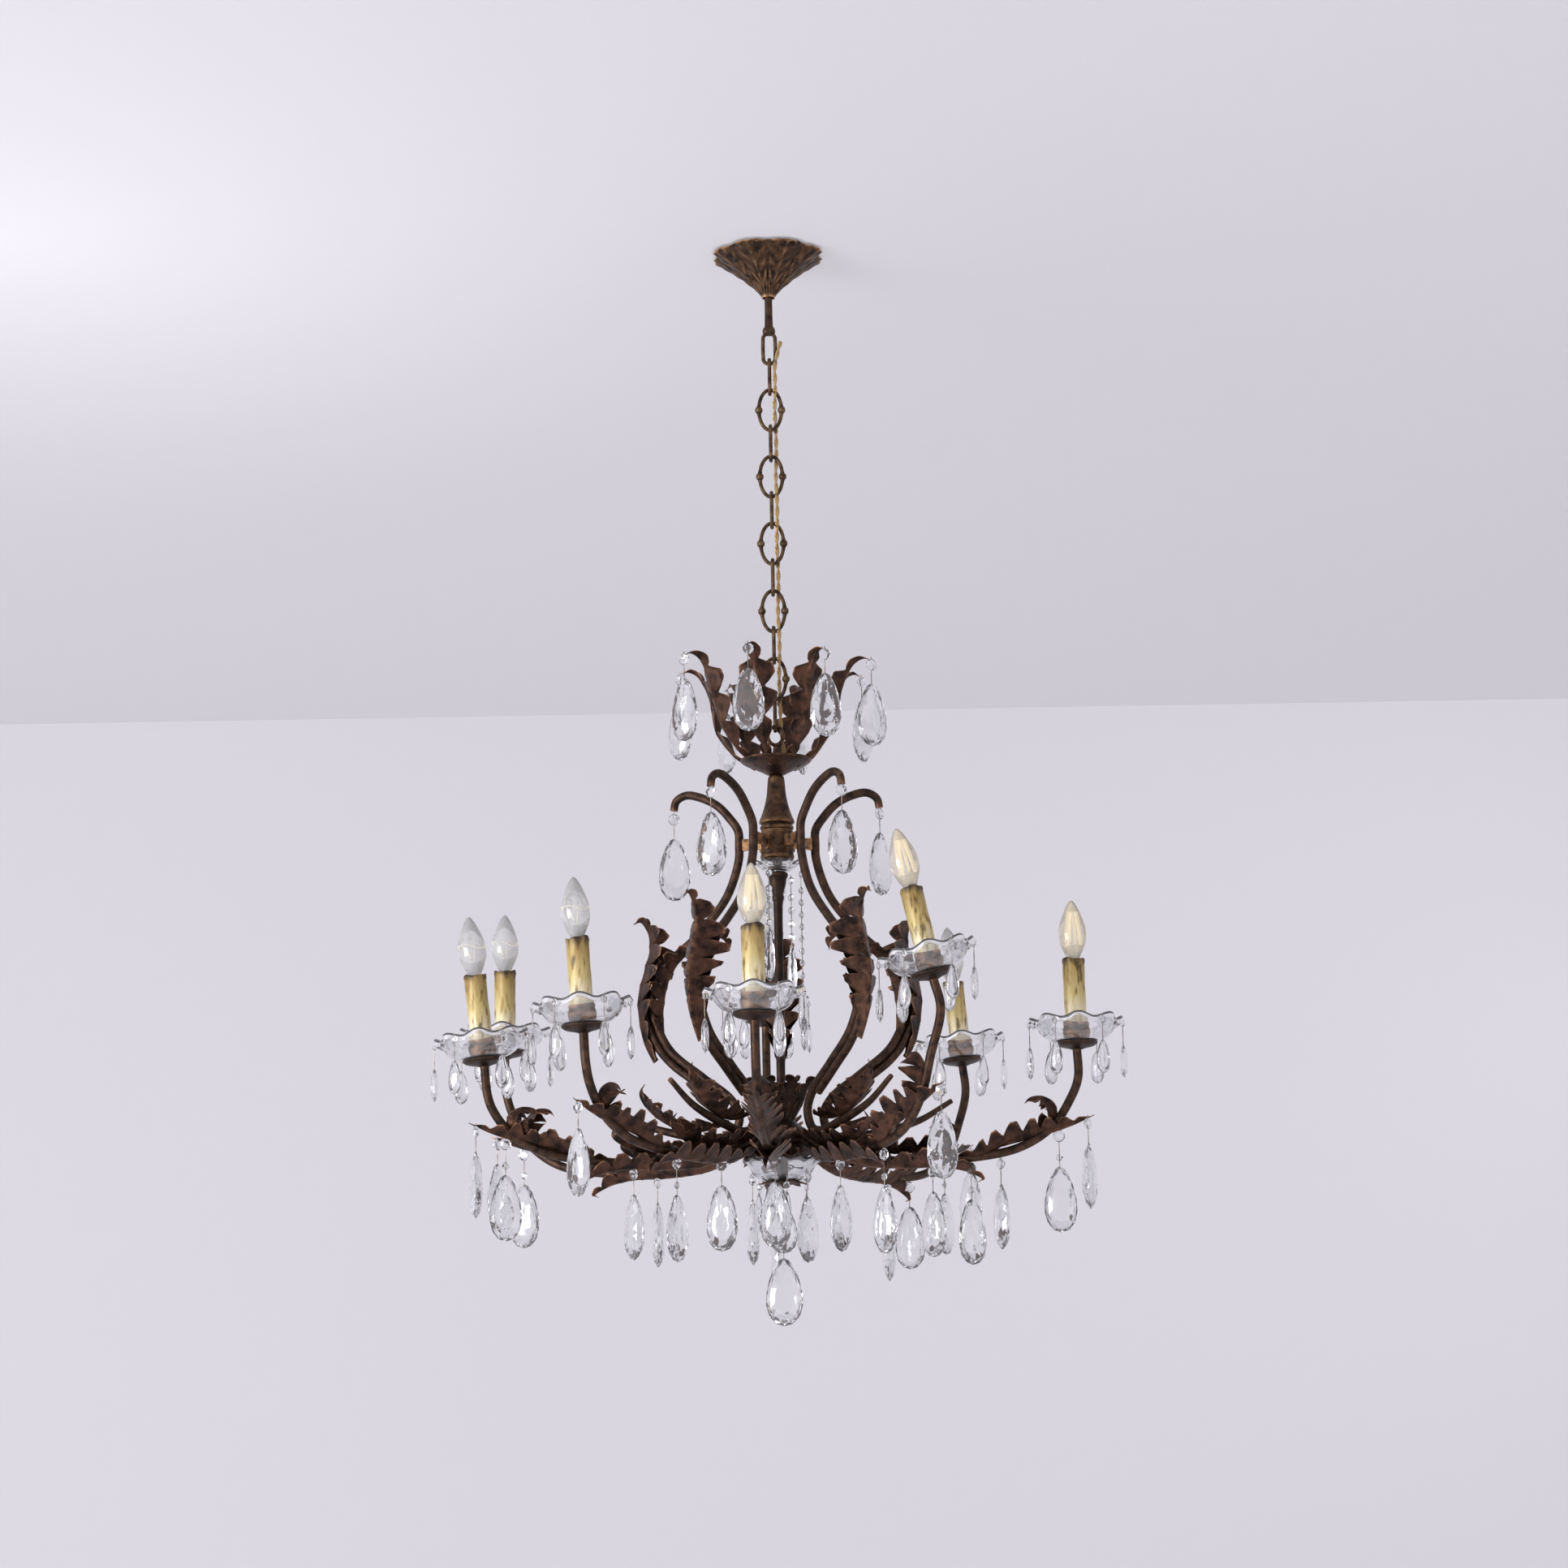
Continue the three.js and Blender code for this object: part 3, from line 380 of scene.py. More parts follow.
def smoothPath(points, samples):
    # Centripetal Catmull-Rom through the points, evenly spaced along its length
    pts = [Vector(p) for p in points]
    pts = [pts[0] * 2 - pts[1], *pts, pts[-1] * 2 - pts[-2]]
    dense = []
    for k in range(1, len(pts) - 2):
        p0, p1, p2, p3 = pts[k - 1:k + 3]
        t1 = max((p1 - p0).length ** 0.5, 1e-6)
        t2 = t1 + max((p2 - p1).length ** 0.5, 1e-6)
        t3 = t2 + max((p3 - p2).length ** 0.5, 1e-6)
        for n in range(24):
            t = t1 + (t2 - t1) * n / 24
            a1 = p0 * ((t1 - t) / t1) + p1 * (t / t1)
            a2 = p1 * ((t2 - t) / (t2 - t1)) + p2 * ((t - t1) / (t2 - t1))
            a3 = p2 * ((t3 - t) / (t3 - t2)) + p3 * ((t - t2) / (t3 - t2))
            b1 = a1 * ((t2 - t) / t2) + a2 * (t / t2)
            b2 = a2 * ((t3 - t) / (t3 - t1)) + a3 * ((t - t1) / (t3 - t1))
            dense.append(b1 * ((t2 - t) / (t2 - t1)) + b2 * ((t - t1) / (t2 - t1)))
    dense.append(pts[-2].copy())
    array = np.array([tuple(p) for p in dense])
    steps = np.r_[0, np.cumsum(np.linalg.norm(np.diff(array, axis=0), axis=1))]
    even = np.linspace(0, steps[-1], samples)
    return [Vector(p) for p in np.stack([np.interp(even, steps, array[:, c]) for c in range(3)], axis=1)]


def framesAlong(path):
    # A direction and two cross directions at each point, carried along without twist
    frames = []
    side = None
    for i, p in enumerate(path):
        ahead = (path[min(i + 1, len(path) - 1)] - path[max(i - 1, 0)]).normalized()
        if side is None:
            side = ahead.orthogonal().normalized()
        side = (side - ahead * side.dot(ahead)).normalized()
        frames.append((p, ahead, side, ahead.cross(side)))
    return frames


def ringAround(centre, side, other, radius, sides):
    turns = [2 * math.pi * j / sides for j in range(sides)]
    return [centre + side * (radius * math.cos(t)) + other * (radius * math.sin(t)) for t in turns]


def addTube(bag, points, radius, sides, samples):
    # radius is a number, or a function of the share of the length
    path = smoothPath(points, samples)
    size = radius if callable(radius) else (lambda share: radius)
    rows = []
    for i, (p, _, side, other) in enumerate(framesAlong(path)):
        rows.append(ringAround(p, side, other, size(i / (samples - 1)), sides))
    addGrid(bag, rows, caps=True)


def addRing(bag, path, radius, sides):
    # A closed loop of tube. radius is a number, or a function of the share around
    count = len(path)
    size = radius if callable(radius) else (lambda share: radius)
    rows = []
    for i, p in enumerate(path):
        ahead = (path[(i + 1) % count] - path[i - 1]).normalized()
        side = Vector((0, 1, 0)) if abs(ahead.y) < 0.2 else Vector((1, 0, 0))
        side = (side - ahead * side.dot(ahead)).normalized()
        rows.append(ringAround(p, side, ahead.cross(side), size(i / count), sides))
    addGrid(bag, rows, closedAlong=True)


def loopPoints(length, width, wire, count, straight=False):
    # Middle line of a wire loop as (x, z) in millimetres: an ellipse, or a long loop with straight sides
    bend, half = (width - wire) / 2, (length - wire) / 2
    points = []
    for k in range(count):
        turn = 2 * math.pi * k / count
        x, rise = bend * math.cos(turn), math.sin(turn)
        z = bend * rise + math.copysign(half - bend, rise) * min(1, abs(rise) * 4) if straight else half * rise
        points.append((x, z))
    return points


def addTurned(bag, profile, matrix=None, segments=48, shape=None):
    # profile runs (radius, height) in millimetres and closes on itself or starts and ends at the axis
    matrix = matrix or Matrix.Identity(4)
    closed = profile[0] == profile[-1]
    points = profile[:-1] if closed else profile
    rows = []
    for r, z in points:
        row = []
        for j in range(segments):
            turn = 2 * math.pi * j / segments
            rr, zz = shape(max(r, 1e-4), z, turn) if shape else (max(r, 1e-4), z)
            row.append(matrix @ Vector((rr * math.sin(turn) * mm, -rr * math.cos(turn) * mm, zz * mm)))
        rows.append(row)
    addGrid(bag, rows, closedAlong=closed, caps=not closed)


def roundedProfile(points, steps=5):
    # Softens the corners of a millimetre profile with short Bezier arcs
    result = [points[0]]
    for a, b, c in zip(points, points[1:], points[2:]):
        for n in range(steps + 1):
            t = n / steps
            start = (b[0] + (a[0] - b[0]) * 0.4, b[1] + (a[1] - b[1]) * 0.4)
            end = (b[0] + (c[0] - b[0]) * 0.4, b[1] + (c[1] - b[1]) * 0.4)
            result.append(tuple(
                (1 - t) ** 2 * start[k] + 2 * t * (1 - t) * b[k] + t * t * end[k] for k in range(2)
            ))
    result.append(points[-1])
    return result


def around(turn, reach, height):
    return Vector((reach * math.sin(turn), -reach * math.cos(turn), height)) * mm


def at(azimuth, reach, depth):
    return around(math.radians(azimuth), reach, -depth)


def down(distance):
    return Vector((0, 0, -distance * mm))


def makePiece(name, bag, material, body, replaced=(), sharp=40):
    mesh = bpy.data.meshes.new(name)
    mesh.from_pydata(bag["verts"], [], bag["faces"])
    mesh.validate()
    work = bmesh.new()
    work.from_mesh(mesh)
    bmesh.ops.remove_doubles(work, verts=work.verts, dist=2e-6)
    bmesh.ops.recalc_face_normals(work, faces=work.faces)
    work.to_mesh(mesh)
    work.free()
    if sharp:
        mesh.shade_smooth()
        mesh.set_sharp_from_angle(angle=math.radians(sharp))
    mesh.materials.append(material)
    piece = bpy.data.objects.new(name, mesh)
    bpy.context.scene.collection.objects.link(piece)
    if replaced:
        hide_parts(*replaced)
    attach(piece, body)


def makeDrops(glassName, glass, wireName, wire, body="fixture", replaced=()):
    makePiece(glassName, glass, cutGlass, body, replaced, sharp=0)
    makePiece(wireName, wire, pinWire, body)


# Pressed acanthus leaf: rounded lobes swept towards the tip, toothed edges, a sunk midrib and a real thickness

leafShape = {
    "sweep": 0.5, "tooth": 0.04, "cup": 0.34, "curl": 0.9, "lift": 0.2, "point": 0.3, "tip": 0.1,
    "thickness": 0.9, "rowsPerLobe": 12, "half": 9,
}


def addLeaf(bag, points, across, width, lobes, depth, cup=leafShape["cup"], widest=0.45, phase=0.0, plain=0.12):
    g = leafShape
    rowsAlong, half = lobes * g["rowsPerLobe"], g["half"]
    path = smoothPath(points, rowsAlong + 1)
    bend = math.log(0.5) / math.log(widest)
    lobeSize = [[rng.uniform(0.8, 1.12) for _ in range(lobes + 2)] for _ in range(2)]
    lobeLift = [[rng.uniform(-0.5, 1.0) for _ in range(lobes + 2)] for _ in range(2)]
    top, bottom = [], []
    for i, p in enumerate(path):
        share = i / rowsAlong
        ahead = (path[min(i + 1, rowsAlong)] - path[max(i - 1, 0)]).normalized()
        side = (across - ahead * across.dot(ahead)).normalized()
        up = ahead.cross(side)
        swell = max(math.sin(math.pi * share ** bend) ** 0.62, 0.14 * (1 - share) + g["tip"] * share)
        swell *= min(1.0, (1 - share) / g["point"] + 0.03) ** 0.8
        beat = share * lobes + phase
        part = beat - math.floor(beat)
        bulge = math.sin(math.pi * part) ** 0.62
        teeth = 1 + g["tooth"] * math.cos(6 * math.pi * part)
        notch = depth * min(1.0, share / plain)
        rowTop, rowBottom = [], []
        for j in range(-half, half + 1):
            v = j / half
            place = 0 if v < 0 else 1
            full = width / 2 * swell
            reach = full * (1 - notch + notch * bulge * lobeSize[place][int(beat)]) * teeth
            far = abs(v)
            forward = g["sweep"] * reach * far ** 1.5 * (1 - 0.6 * share)
            height = cup * reach * far ** 1.6
            height += g["lift"] * reach * far ** 2 * (bulge - 0.5) * (1 + lobeLift[place][int(beat)])
            height -= g["curl"] * reach * max(0.0, far - 0.6) ** 1.5
            height -= 0.05 * width * math.exp(-((v * reach / (0.06 * width)) ** 2))
            height += 0.03 * full * math.cos(5 * math.pi * v) * (1 - far)
            centre = p + (side * (v * reach) + ahead * forward + up * height) * mm
            rowTop.append(centre + up * (g["thickness"] / 2 * mm))
            rowBottom.append(centre - up * (g["thickness"] / 2 * mm))
        top.append(rowTop)
        bottom.append(rowBottom)
    loops = [t + b[::-1] for t, b in zip(top, bottom)]
    start = len(bag["verts"])
    addGrid(bag, loops)
    count = 2 * half + 1
    size = 2 * count
    for first in (0, len(loops) - 1):
        for j in range(count - 1):
            a = start + first * size + j
            d = start + first * size + size - 1 - j
            bag["faces"].append((a, a + 1, d - 1, d) if first else (d, d - 1, a + 1, a))


def radialLeaf(bag, azimuth, points, width, flip=1, **look):
    # points are (reach, depth) in millimetres
    across = at(azimuth + 90, 1, 0).normalized() * flip
    addLeaf(bag, [at(azimuth, *point) for point in points], across, width, **look)


# Cut drop: a flat pear with a table on both faces and rows of kite-shaped facets

def pearOutline(turn, length, width):
    # turn 0 is the top point, pi the round foot
    along = (1 - math.cos(turn)) / 2
    wide = math.sin(turn) * (0.58 + 0.42 * math.sin(turn / 2) ** 2.2)
    return wide * width / 2, -along * length


def addDrop(bag, matrix, length, width, thick, facets=16):
    # Rings step in from the girdle to the table, each as a share of the outline and of half the thickness
    rings = [(1.0, 0.06), (0.80, 0.62), (0.52, 0.93), (0.26, 1.0)]
    middle = -0.60 * length
    levels = []
    for n, (scale, out) in enumerate(rings):
        ring = []
        for j in range(facets):
            turn = 2 * math.pi * (j + (0.5 if n % 2 else 0)) / facets
            x, z = pearOutline(min(turn, 2 * math.pi - turn), length, width)
            ring.append((math.copysign(x, math.pi - turn) * scale, out * thick / 2, middle + (z - middle) * scale))
        levels.append(ring)
    sideSize = len(rings) * facets + 1
    front = len(bag["verts"])
    for face in (-1, 1):
        start = len(bag["verts"])
        for ring in levels:
            bag["verts"].extend(tuple(matrix @ (Vector((x, y * face, z)) * mm)) for x, y, z in ring)
        bag["verts"].append(tuple(matrix @ (Vector((0, face * thick / 2, middle)) * mm)))
        for j in range(facets):
            k = (j + 1) % facets
            for n in range(len(rings) - 1):
                a, b = start + n * facets + j, start + n * facets + k
                c, d = a + facets, b + facets
                bag["faces"] += [(a, b, c), (b, d, c)] if n % 2 == 0 else [(a, b, d), (a, d, c)]
            last = start + (len(rings) - 1) * facets
            bag["faces"].append((last + j, last + k, start + sideSize - 1))
    for j in range(facets):
        k = (j + 1) % facets
        bag["faces"].append((front + j, front + sideSize + j, front + sideSize + k, front + k))


def addBead(bag, matrix, size, thick):
    # Octagon bead, cut on both faces
    rings = [(0.0, -0.5), (0.55, -0.5), (1.0, -0.08), (1.0, 0.08), (0.55, 0.5), (0.0, 0.5)]
    rows = []
    for r, y in rings:
        r = max(r, 0.002)
        rows.append([
            matrix @ Vector((r * size / 2 * math.cos(math.pi * (j + 0.5) / 4) * mm, y * thick * mm,
                             (r * size / 2 * math.sin(math.pi * (j + 0.5) / 4) - size / 2) * mm))
            for j in range(8)
        ])
    addGrid(bag, rows, caps=True)


def addPin(bag, start, end, radius=0.45):
    addTube(bag, [start, (start + end) / 2, end], radius * mm, sides=6, samples=4)


# Large and small drops hang the same way as in the solids: a bead, a wire, then the pear

dropSizes = {
    "pear": (74, 46, 15), "bead": 14, "smallBead": 8.5, "beadStep": 12.5,
    "short": 16, "long": 28, "loose": 14,
}


def hangPear(glass, wire, point, azimuth, bead, wireLength, pear):
    # pear is its length, width and thickness
    spot = Matrix.Translation(point) @ Matrix.Rotation(math.radians(azimuth), 4, "Z")
    addBead(glass, spot @ Matrix.Translation(down(1)), bead, bead * 0.55)
    addPin(wire, point + down(-1.2), point + down(3), 0.55)
    addPin(wire, point + down(bead), point + down(bead + wireLength + 4), 0.5)
    count = int((wireLength - 8) // dropSizes["beadStep"])
    for k in range(count):
        along = (k + 0.8) * wireLength / (count + 0.6)
        addBead(glass, spot @ Matrix.Translation(down(bead + along)), dropSizes["smallBead"], 5)
    addDrop(glass, spot @ Matrix.Translation(down(bead + wireLength)), *pear)


def facing(azimuth):
    # Drops hang loosely, turned some way between their own leaf's direction and the front
    return ((azimuth + 180) % 360 - 180) * 0.4 + rng.uniform(-dropSizes["loose"], dropSizes["loose"])


def hangLarge(glass, wire, point, azimuth, wireLength):
    hangPear(glass, wire, point, azimuth, dropSizes["bead"], wireLength, dropSizes["pear"])


# Ceiling bar, stem and canopy

stem = {
    "rod": 4.5, "nut": 7.4, "nutTop": 3.3, "nutFoot": 6.3, "swell": 7.5, "foot": 98, "wire": 4.5,
    "ringLength": 42, "ringWidth": 19,
}


def stemPieces():
    bag = newBag()
    rod, nut, swell, foot = stem["rod"], stem["nut"], stem["swell"], -stem["foot"]
    addTurned(bag, roundedProfile([
        (0, -stem["nutTop"]), (nut, -stem["nutTop"]), (nut, -stem["nutFoot"]), (rod, -stem["nutFoot"] - 0.5),
        (rod, foot + 10), (swell - 1.1, foot + 9), (swell, foot + 6), (swell, foot + 2), (rod + 0.5, foot), (0, foot),
    ], 3), segments=32)
    ringCentre = -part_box("stem")[0].z / mm - stem["ringLength"] / 2
    loop = loopPoints(stem["ringLength"], stem["ringWidth"], stem["wire"], 48, straight=True)
    addRing(bag, [Vector((x, 0, z - ringCentre)) * mm for x, z in loop], stem["wire"] / 2 * mm, 12)
    makePiece("stem_and_ring", bag, chainMetal, "ceiling_mount", ["stem"])
    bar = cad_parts["ceiling_bar"]
    bar.data.materials.clear()
    bar.data.materials.append(agedIron)


canopy = {"neck": 7.5, "reach": 67, "leaves": 8, "relief": 2.4, "wall": 1.3, "bore": 5.2, "rows": 40, "around": 192}


def canopyPiece():
    # Pressed leaves with veins radiate from the neck, and their tips make the ragged rim
    low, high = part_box("canopy")
    rim, foot = high.z / mm, low.z / mm
    rows, segments = canopy["rows"], canopy["around"]
    neck, reach, leaves = canopy["neck"], canopy["reach"], canopy["leaves"]
    outer, inner = [], []
    for i in range(rows + 1):
        share = i / rows
        base = neck + (reach - neck) * share ** 1.15
        z = foot + (rim - foot) * (share ** 0.82)
        rowOut, rowIn = [], []
        for j in range(segments):
            turn = 2 * math.pi * j / segments
            beat = (turn * leaves / (2 * math.pi)) % 1
            centred = abs(beat - 0.5) * 2
            tip = 1 - 0.085 * share ** 3 * centred ** 2 - 0.03 * share ** 4 * abs(math.sin(turn * leaves * 2))
            vein = math.exp(-((centred / 0.16) ** 2)) * 0.6
            side = 0.5 * math.sin(math.pi * (share * 4.5 - centred * 1.4)) ** 2
            valley = math.exp(-(((1 - centred) / 0.16) ** 2)) * 1.1
            relief = canopy["relief"] * min(1, share * 4) * (vein + side - valley) * (1 - 0.35 * share)
            r = min((base + relief * 0.6) * tip, reach)
            rowOut.append(around(turn, r, min(z - relief * 0.4, rim)))
            rowIn.append(around(turn, max(r - canopy["wall"], canopy["bore"]), min(z + 0.6, rim) - relief * 0.2))
        outer.append(rowOut)
        inner.append(rowIn)
    bag = newBag()
    addGrid(bag, outer + inner[::-1], closedAlong=True)
    makePiece("pressed_canopy", bag, copperSheet, "canopy", ["canopy"], sharp=55)


stemPieces()
canopyPiece()
print("stem and canopy made")


# Chain: each link follows its own CAD node

chain = {"links": 11, "large": (53.5, 31), "small": (46, 20), "wire": 4.5, "bead": 4.6, "meanRadius": 24}


def beadedWire(share):
    # A bead between two collars in the middle of each side
    near = min(abs(share), abs(share - 0.5), abs(share - 1)) * 2 * math.pi * chain["meanRadius"]
    ball = max(0.0, chain["bead"] ** 2 - near ** 2) ** 0.5
    collar = 0.5 * math.exp(-((near - 5) / 0.9) ** 2)
    return max(chain["wire"] / 2 - 0.1 + collar, ball) * mm


def chainLinks():
    wire = chain["wire"]
    for n in range(1, chain["links"] + 1):
        low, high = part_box(f"chain_link_{n}")
        centre = (low + high) / 2
        bag = newBag()
        if n % 2 == 0:
            loop = loopPoints(*chain["large"], wire, 160)
            addRing(bag, [Vector((x, 0, z)) * mm + centre for x, z in loop], beadedWire, 14)
        else:
            loop = loopPoints(*chain["small"], wire, 64, straight=True)
            addRing(bag, [Vector((0, y, z)) * mm + centre for y, z in loop], wire / 2 * mm, 14)
        makePiece(f"link_{n}", bag, chainMetal, f"link_{n}", [f"chain_link_{n}"])


chainLinks()
print("chain made")


# Flex: cut at the chain's joints, so that each stretch swings with its own link

flex = {
    "aside": 6.4, "weave": 8, "start": (13.5, -106), "strand": 1.3, "twist": 0.21, "overlap": 2.2, "samples": 520,
}


def flexPath():
    boxes = [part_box(f"chain_link_{n}") for n in range(1, chain["links"] + 1)]
    centres = [(low.z + high.z) / 2 / mm for low, high in boxes]
    small, large = centres[0::2], centres[1::2]
    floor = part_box("flex")[0].z / mm
    aside, weave = flex["aside"], flex["weave"]
    points = [(flex["start"][0], 0, flex["start"][1])]
    for i, z in enumerate(small):
        y = weave if i % 2 else -weave
        points += [(aside, y, z + 10), (aside, y, z - 10)]
        if i < len(large):
            points.append((aside - 1, 0, large[i]))
    points += [(aside + 3, weave + 1, floor + 18), (aside + 3, weave + 1, floor + 0.2)]
    # Two neighbours meet where their wires rest in each other
    uppers = [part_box("stem")[0].z] + [low.z for low, high in boxes]
    lowers = [high.z for low, high in boxes] + [boxes[-1][0].z + 2 * chain["wire"] * mm]
    joints = [(upper + lower - chain["wire"] * mm) / 2 for upper, lower in zip(uppers, lowers)]
    return smoothPath([Vector(p) * mm for p in points], flex["samples"]), joints


def flexStretches():
    path, joints = flexPath()
    frames = list(enumerate(framesAlong(path)))
    bodies = ["ceiling_mount"] + [f"link_{n}" for n in range(1, chain["links"] + 1)] + ["fixture"]
    overlap, thin = flex["overlap"] * mm, flex["strand"] * mm
    for k, body in enumerate(bodies):
        # The first stretch has no joint above it, and the last none below
        upper = joints[k - 1] + overlap if k else math.inf
        lower = joints[k] - overlap if k < len(joints) else -math.inf
        part = [f for f in frames if lower <= f[1][0].z <= upper]
        bag = newBag()
        for strand in (0, math.pi):
            rows = []
            for i, (p, _, side, other) in part:
                turn = strand + i * flex["twist"]
                core = p + (side * math.cos(turn) + other * math.sin(turn)) * (thin * 0.91)
                rows.append(ringAround(core, side, other, thin, 10))
            addGrid(bag, rows, caps=True)
        makePiece(f"flex_{k + 1}", bag, flexCloth, body, ["flex"])


flexStretches()
print("flex made")


# Crown: cup with a ring, eight pressed leaves and a drop at each tip

crown = {
    "leaves": 8, "turn": 30, "tipReach": 116, "tipRise": 112, "rimDrop": 15.6,
    "ringWidth": 22, "ringLength": 26, "wire": 4.5, "gap": 0.3,
    "leaf": {"width": 42, "lobes": 5, "depth": 0.8, "cup": 0.45, "widest": 0.58, "phase": 0.1},
}


def crownPieces():
    g = crown
    metal, glass, wire = newBag(), newBag(), newBag()
    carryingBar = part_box(f"chain_link_{chain['links']}")[0].z / mm + g["wire"] / 2
    eye = carryingBar + g["wire"] + g["gap"] - (g["ringLength"] - g["wire"]) / 2
    eyeFoot = eye - g["ringLength"] / 2
    rim = -eyeFoot + g["rimDrop"]
    floor = rim + 10
    addTurned(metal, roundedProfile([
        (0, -floor - 8), (9, -floor - 8), (14, -floor - 5), (24, -floor), (34, -rim - 6), (41, -rim - 1.5),
        (41, -rim + 0.6), (39, -rim + 0.6), (33, -rim - 4), (24, -floor + 2.4),
        (7, -floor + 2.6), (4, -floor + 8), (3, eyeFoot + 1), (0, eyeFoot + 1),
    ], 3), segments=64)
    loop = loopPoints(g["ringLength"], g["ringWidth"], g["wire"], 40)
    addRing(metal, [Vector((x, 0, z + eye)) * mm for x, z in loop], g["wire"] / 2 * mm, 12)
    rise, reach = g["tipRise"], g["tipReach"]
    for i in range(g["leaves"]):
        azimuth = g["turn"] + i * 360 / g["leaves"]
        out, lift = rng.uniform(-3, 3), rng.uniform(-4, 3)
        tip = (reach + out, rim - rise - lift)
        radialLeaf(metal, azimuth, [
            (24, floor - 1), (reach * 0.42, rim - rise * 0.08), (reach * 0.60, rim - rise * 0.34),
            (reach * 0.68 + out, rim - rise * 0.68), (reach * 0.80 + out, rim - rise * 0.95 - lift),
            (reach * 0.92 + out, rim - rise * 1.02 - lift), tip,
        ], **g["leaf"])
        hangLarge(glass, wire, at(azimuth, *tip), facing(azimuth), dropSizes["short"])
    makePiece("crown_metal", metal, copperLeaf, "fixture", ["crown"])
    makeDrops("crown_drops", glass, "crown_pins", wire)


crownPieces()
print("crown made")


# Baluster, collar and spacers

baluster = {
    "bell": 680, "foot": 727, "spacers": 5, "spacerStart": 16, "spacerLength": 25.2, "spacerDepth": 705.5,
    "spacerHalf": (3, 7), "screwReach": 19, "screwDepth": 714,
}


def balusterPiece():
    g = baluster
    bag = newBag()
    top, bell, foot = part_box("baluster")[1].z / mm, -g["bell"], -g["foot"]
    addTurned(bag, roundedProfile([
        (0, top), (9, top), (10, top - 8), (11, bell + 30), (14, bell + 16), (18, bell + 4), (20, bell),
        (20.5, bell - 3), (17.5, bell - 4.5), (17, bell - 6), (19.2, bell - 7), (19.2, bell - 10), (17.6, bell - 11),
        (18.5, bell - 12), (18.5, foot + 7), (19.4, foot + 6), (19.4, foot + 3), (18, foot + 2), (17.5, foot),
        (0, foot),
    ], 3), segments=64)
    halfWidth, halfHeight = g["spacerHalf"]
    corners = ((-1, -0.8), (-0.8, -1), (0.8, -1), (1, -0.8), (1, 0.8), (0.8, 1), (-0.8, 1), (-1, 0.8))
    for n in range(g["spacers"]):
        turn = Matrix.Rotation(math.radians(360 / g["spacers"] * (n + 0.5)), 4, "Z")
        rows = []
        for share in (0, 0.04, 0.5, 0.96, 1):
            y = -(g["spacerStart"] + share * g["spacerLength"])
            pinch = 1 - 0.16 * math.sin(math.pi * share)
            rows.append([
                turn @ (Vector((x * halfWidth * pinch, y, z * halfHeight * pinch - g["spacerDepth"])) * mm)
                for x, z in corners
            ])
        addGrid(bag, rows, caps=True)
        screwPlace = Matrix.Translation((0, -g["screwReach"] * mm, -g["screwDepth"] * mm))
        screw = turn @ screwPlace @ Matrix.Rotation(math.radians(90), 4, "X")
        head = roundedProfile([(0, 0), (2.2, 0), (2.2, 1.2), (1.2, 2.2), (0, 2.4)], 2)
        addTurned(bag, head, matrix=screw, segments=12)
    makePiece("baluster_metal", bag, copperSheet, "fixture", ["baluster"])


balusterPiece()


# Glass dishes, column and hub

def flutedDish(bag, reach, depth, bore, top, wall, flutes, wave=0.05, ruffle=1.6, matrix=None, curl=0.0):
    # curl rolls the rim outwards and down, as a share of the depth
    foot = top - depth
    lip = top - depth * curl
    outer = [
        (bore, foot), (reach * 0.4, foot), (reach * 0.66, foot + depth * 0.2), (reach * 0.80, foot + depth * 0.62),
        (reach * 0.88, top - depth * 0.06), (reach * 0.95, top), (reach, lip),
    ]
    inner = [
        (reach - wall * 0.7, lip + 1.4), (reach * 0.94, top + wall * 0.8), (reach * 0.86, top + wall * 0.3),
        (reach * 0.80 - wall, foot + depth * 0.7), (reach * 0.64, foot + depth * 0.2 + wall),
        (reach * 0.4, foot + wall), (bore, foot + wall),
    ]
    profile = roundedProfile(outer + inner, 4) + [(bore, foot)]

    def shape(r, z, turn):
        share = max(0.0, r / reach - 0.35) / 0.65
        rise = max(0.0, (z - foot) / depth)
        beat = math.cos(flutes * turn)
        inwards = r * (1 - wave * share * (1 - beat) * 0.5)
        return inwards, z + ruffle * share * share * rise * beat - ruffle * share * rise

    addTurned(bag, profile, matrix=matrix, segments=flutes * 14, shape=shape)


dishes = {
    "bore": 5.5, "upperReach": 27, "upperWall": 2.4, "upperFlutes": 10, "reach": 46, "depth": 24, "wall": 2.8,
    "flutes": 14, "dropAzimuths": (-90, 54), "dropReach": 34, "dropRise": 10.8,
}
column = {"rod": 5, "ringTop": 880, "ringFoot": 892, "ringReach": 6.4}


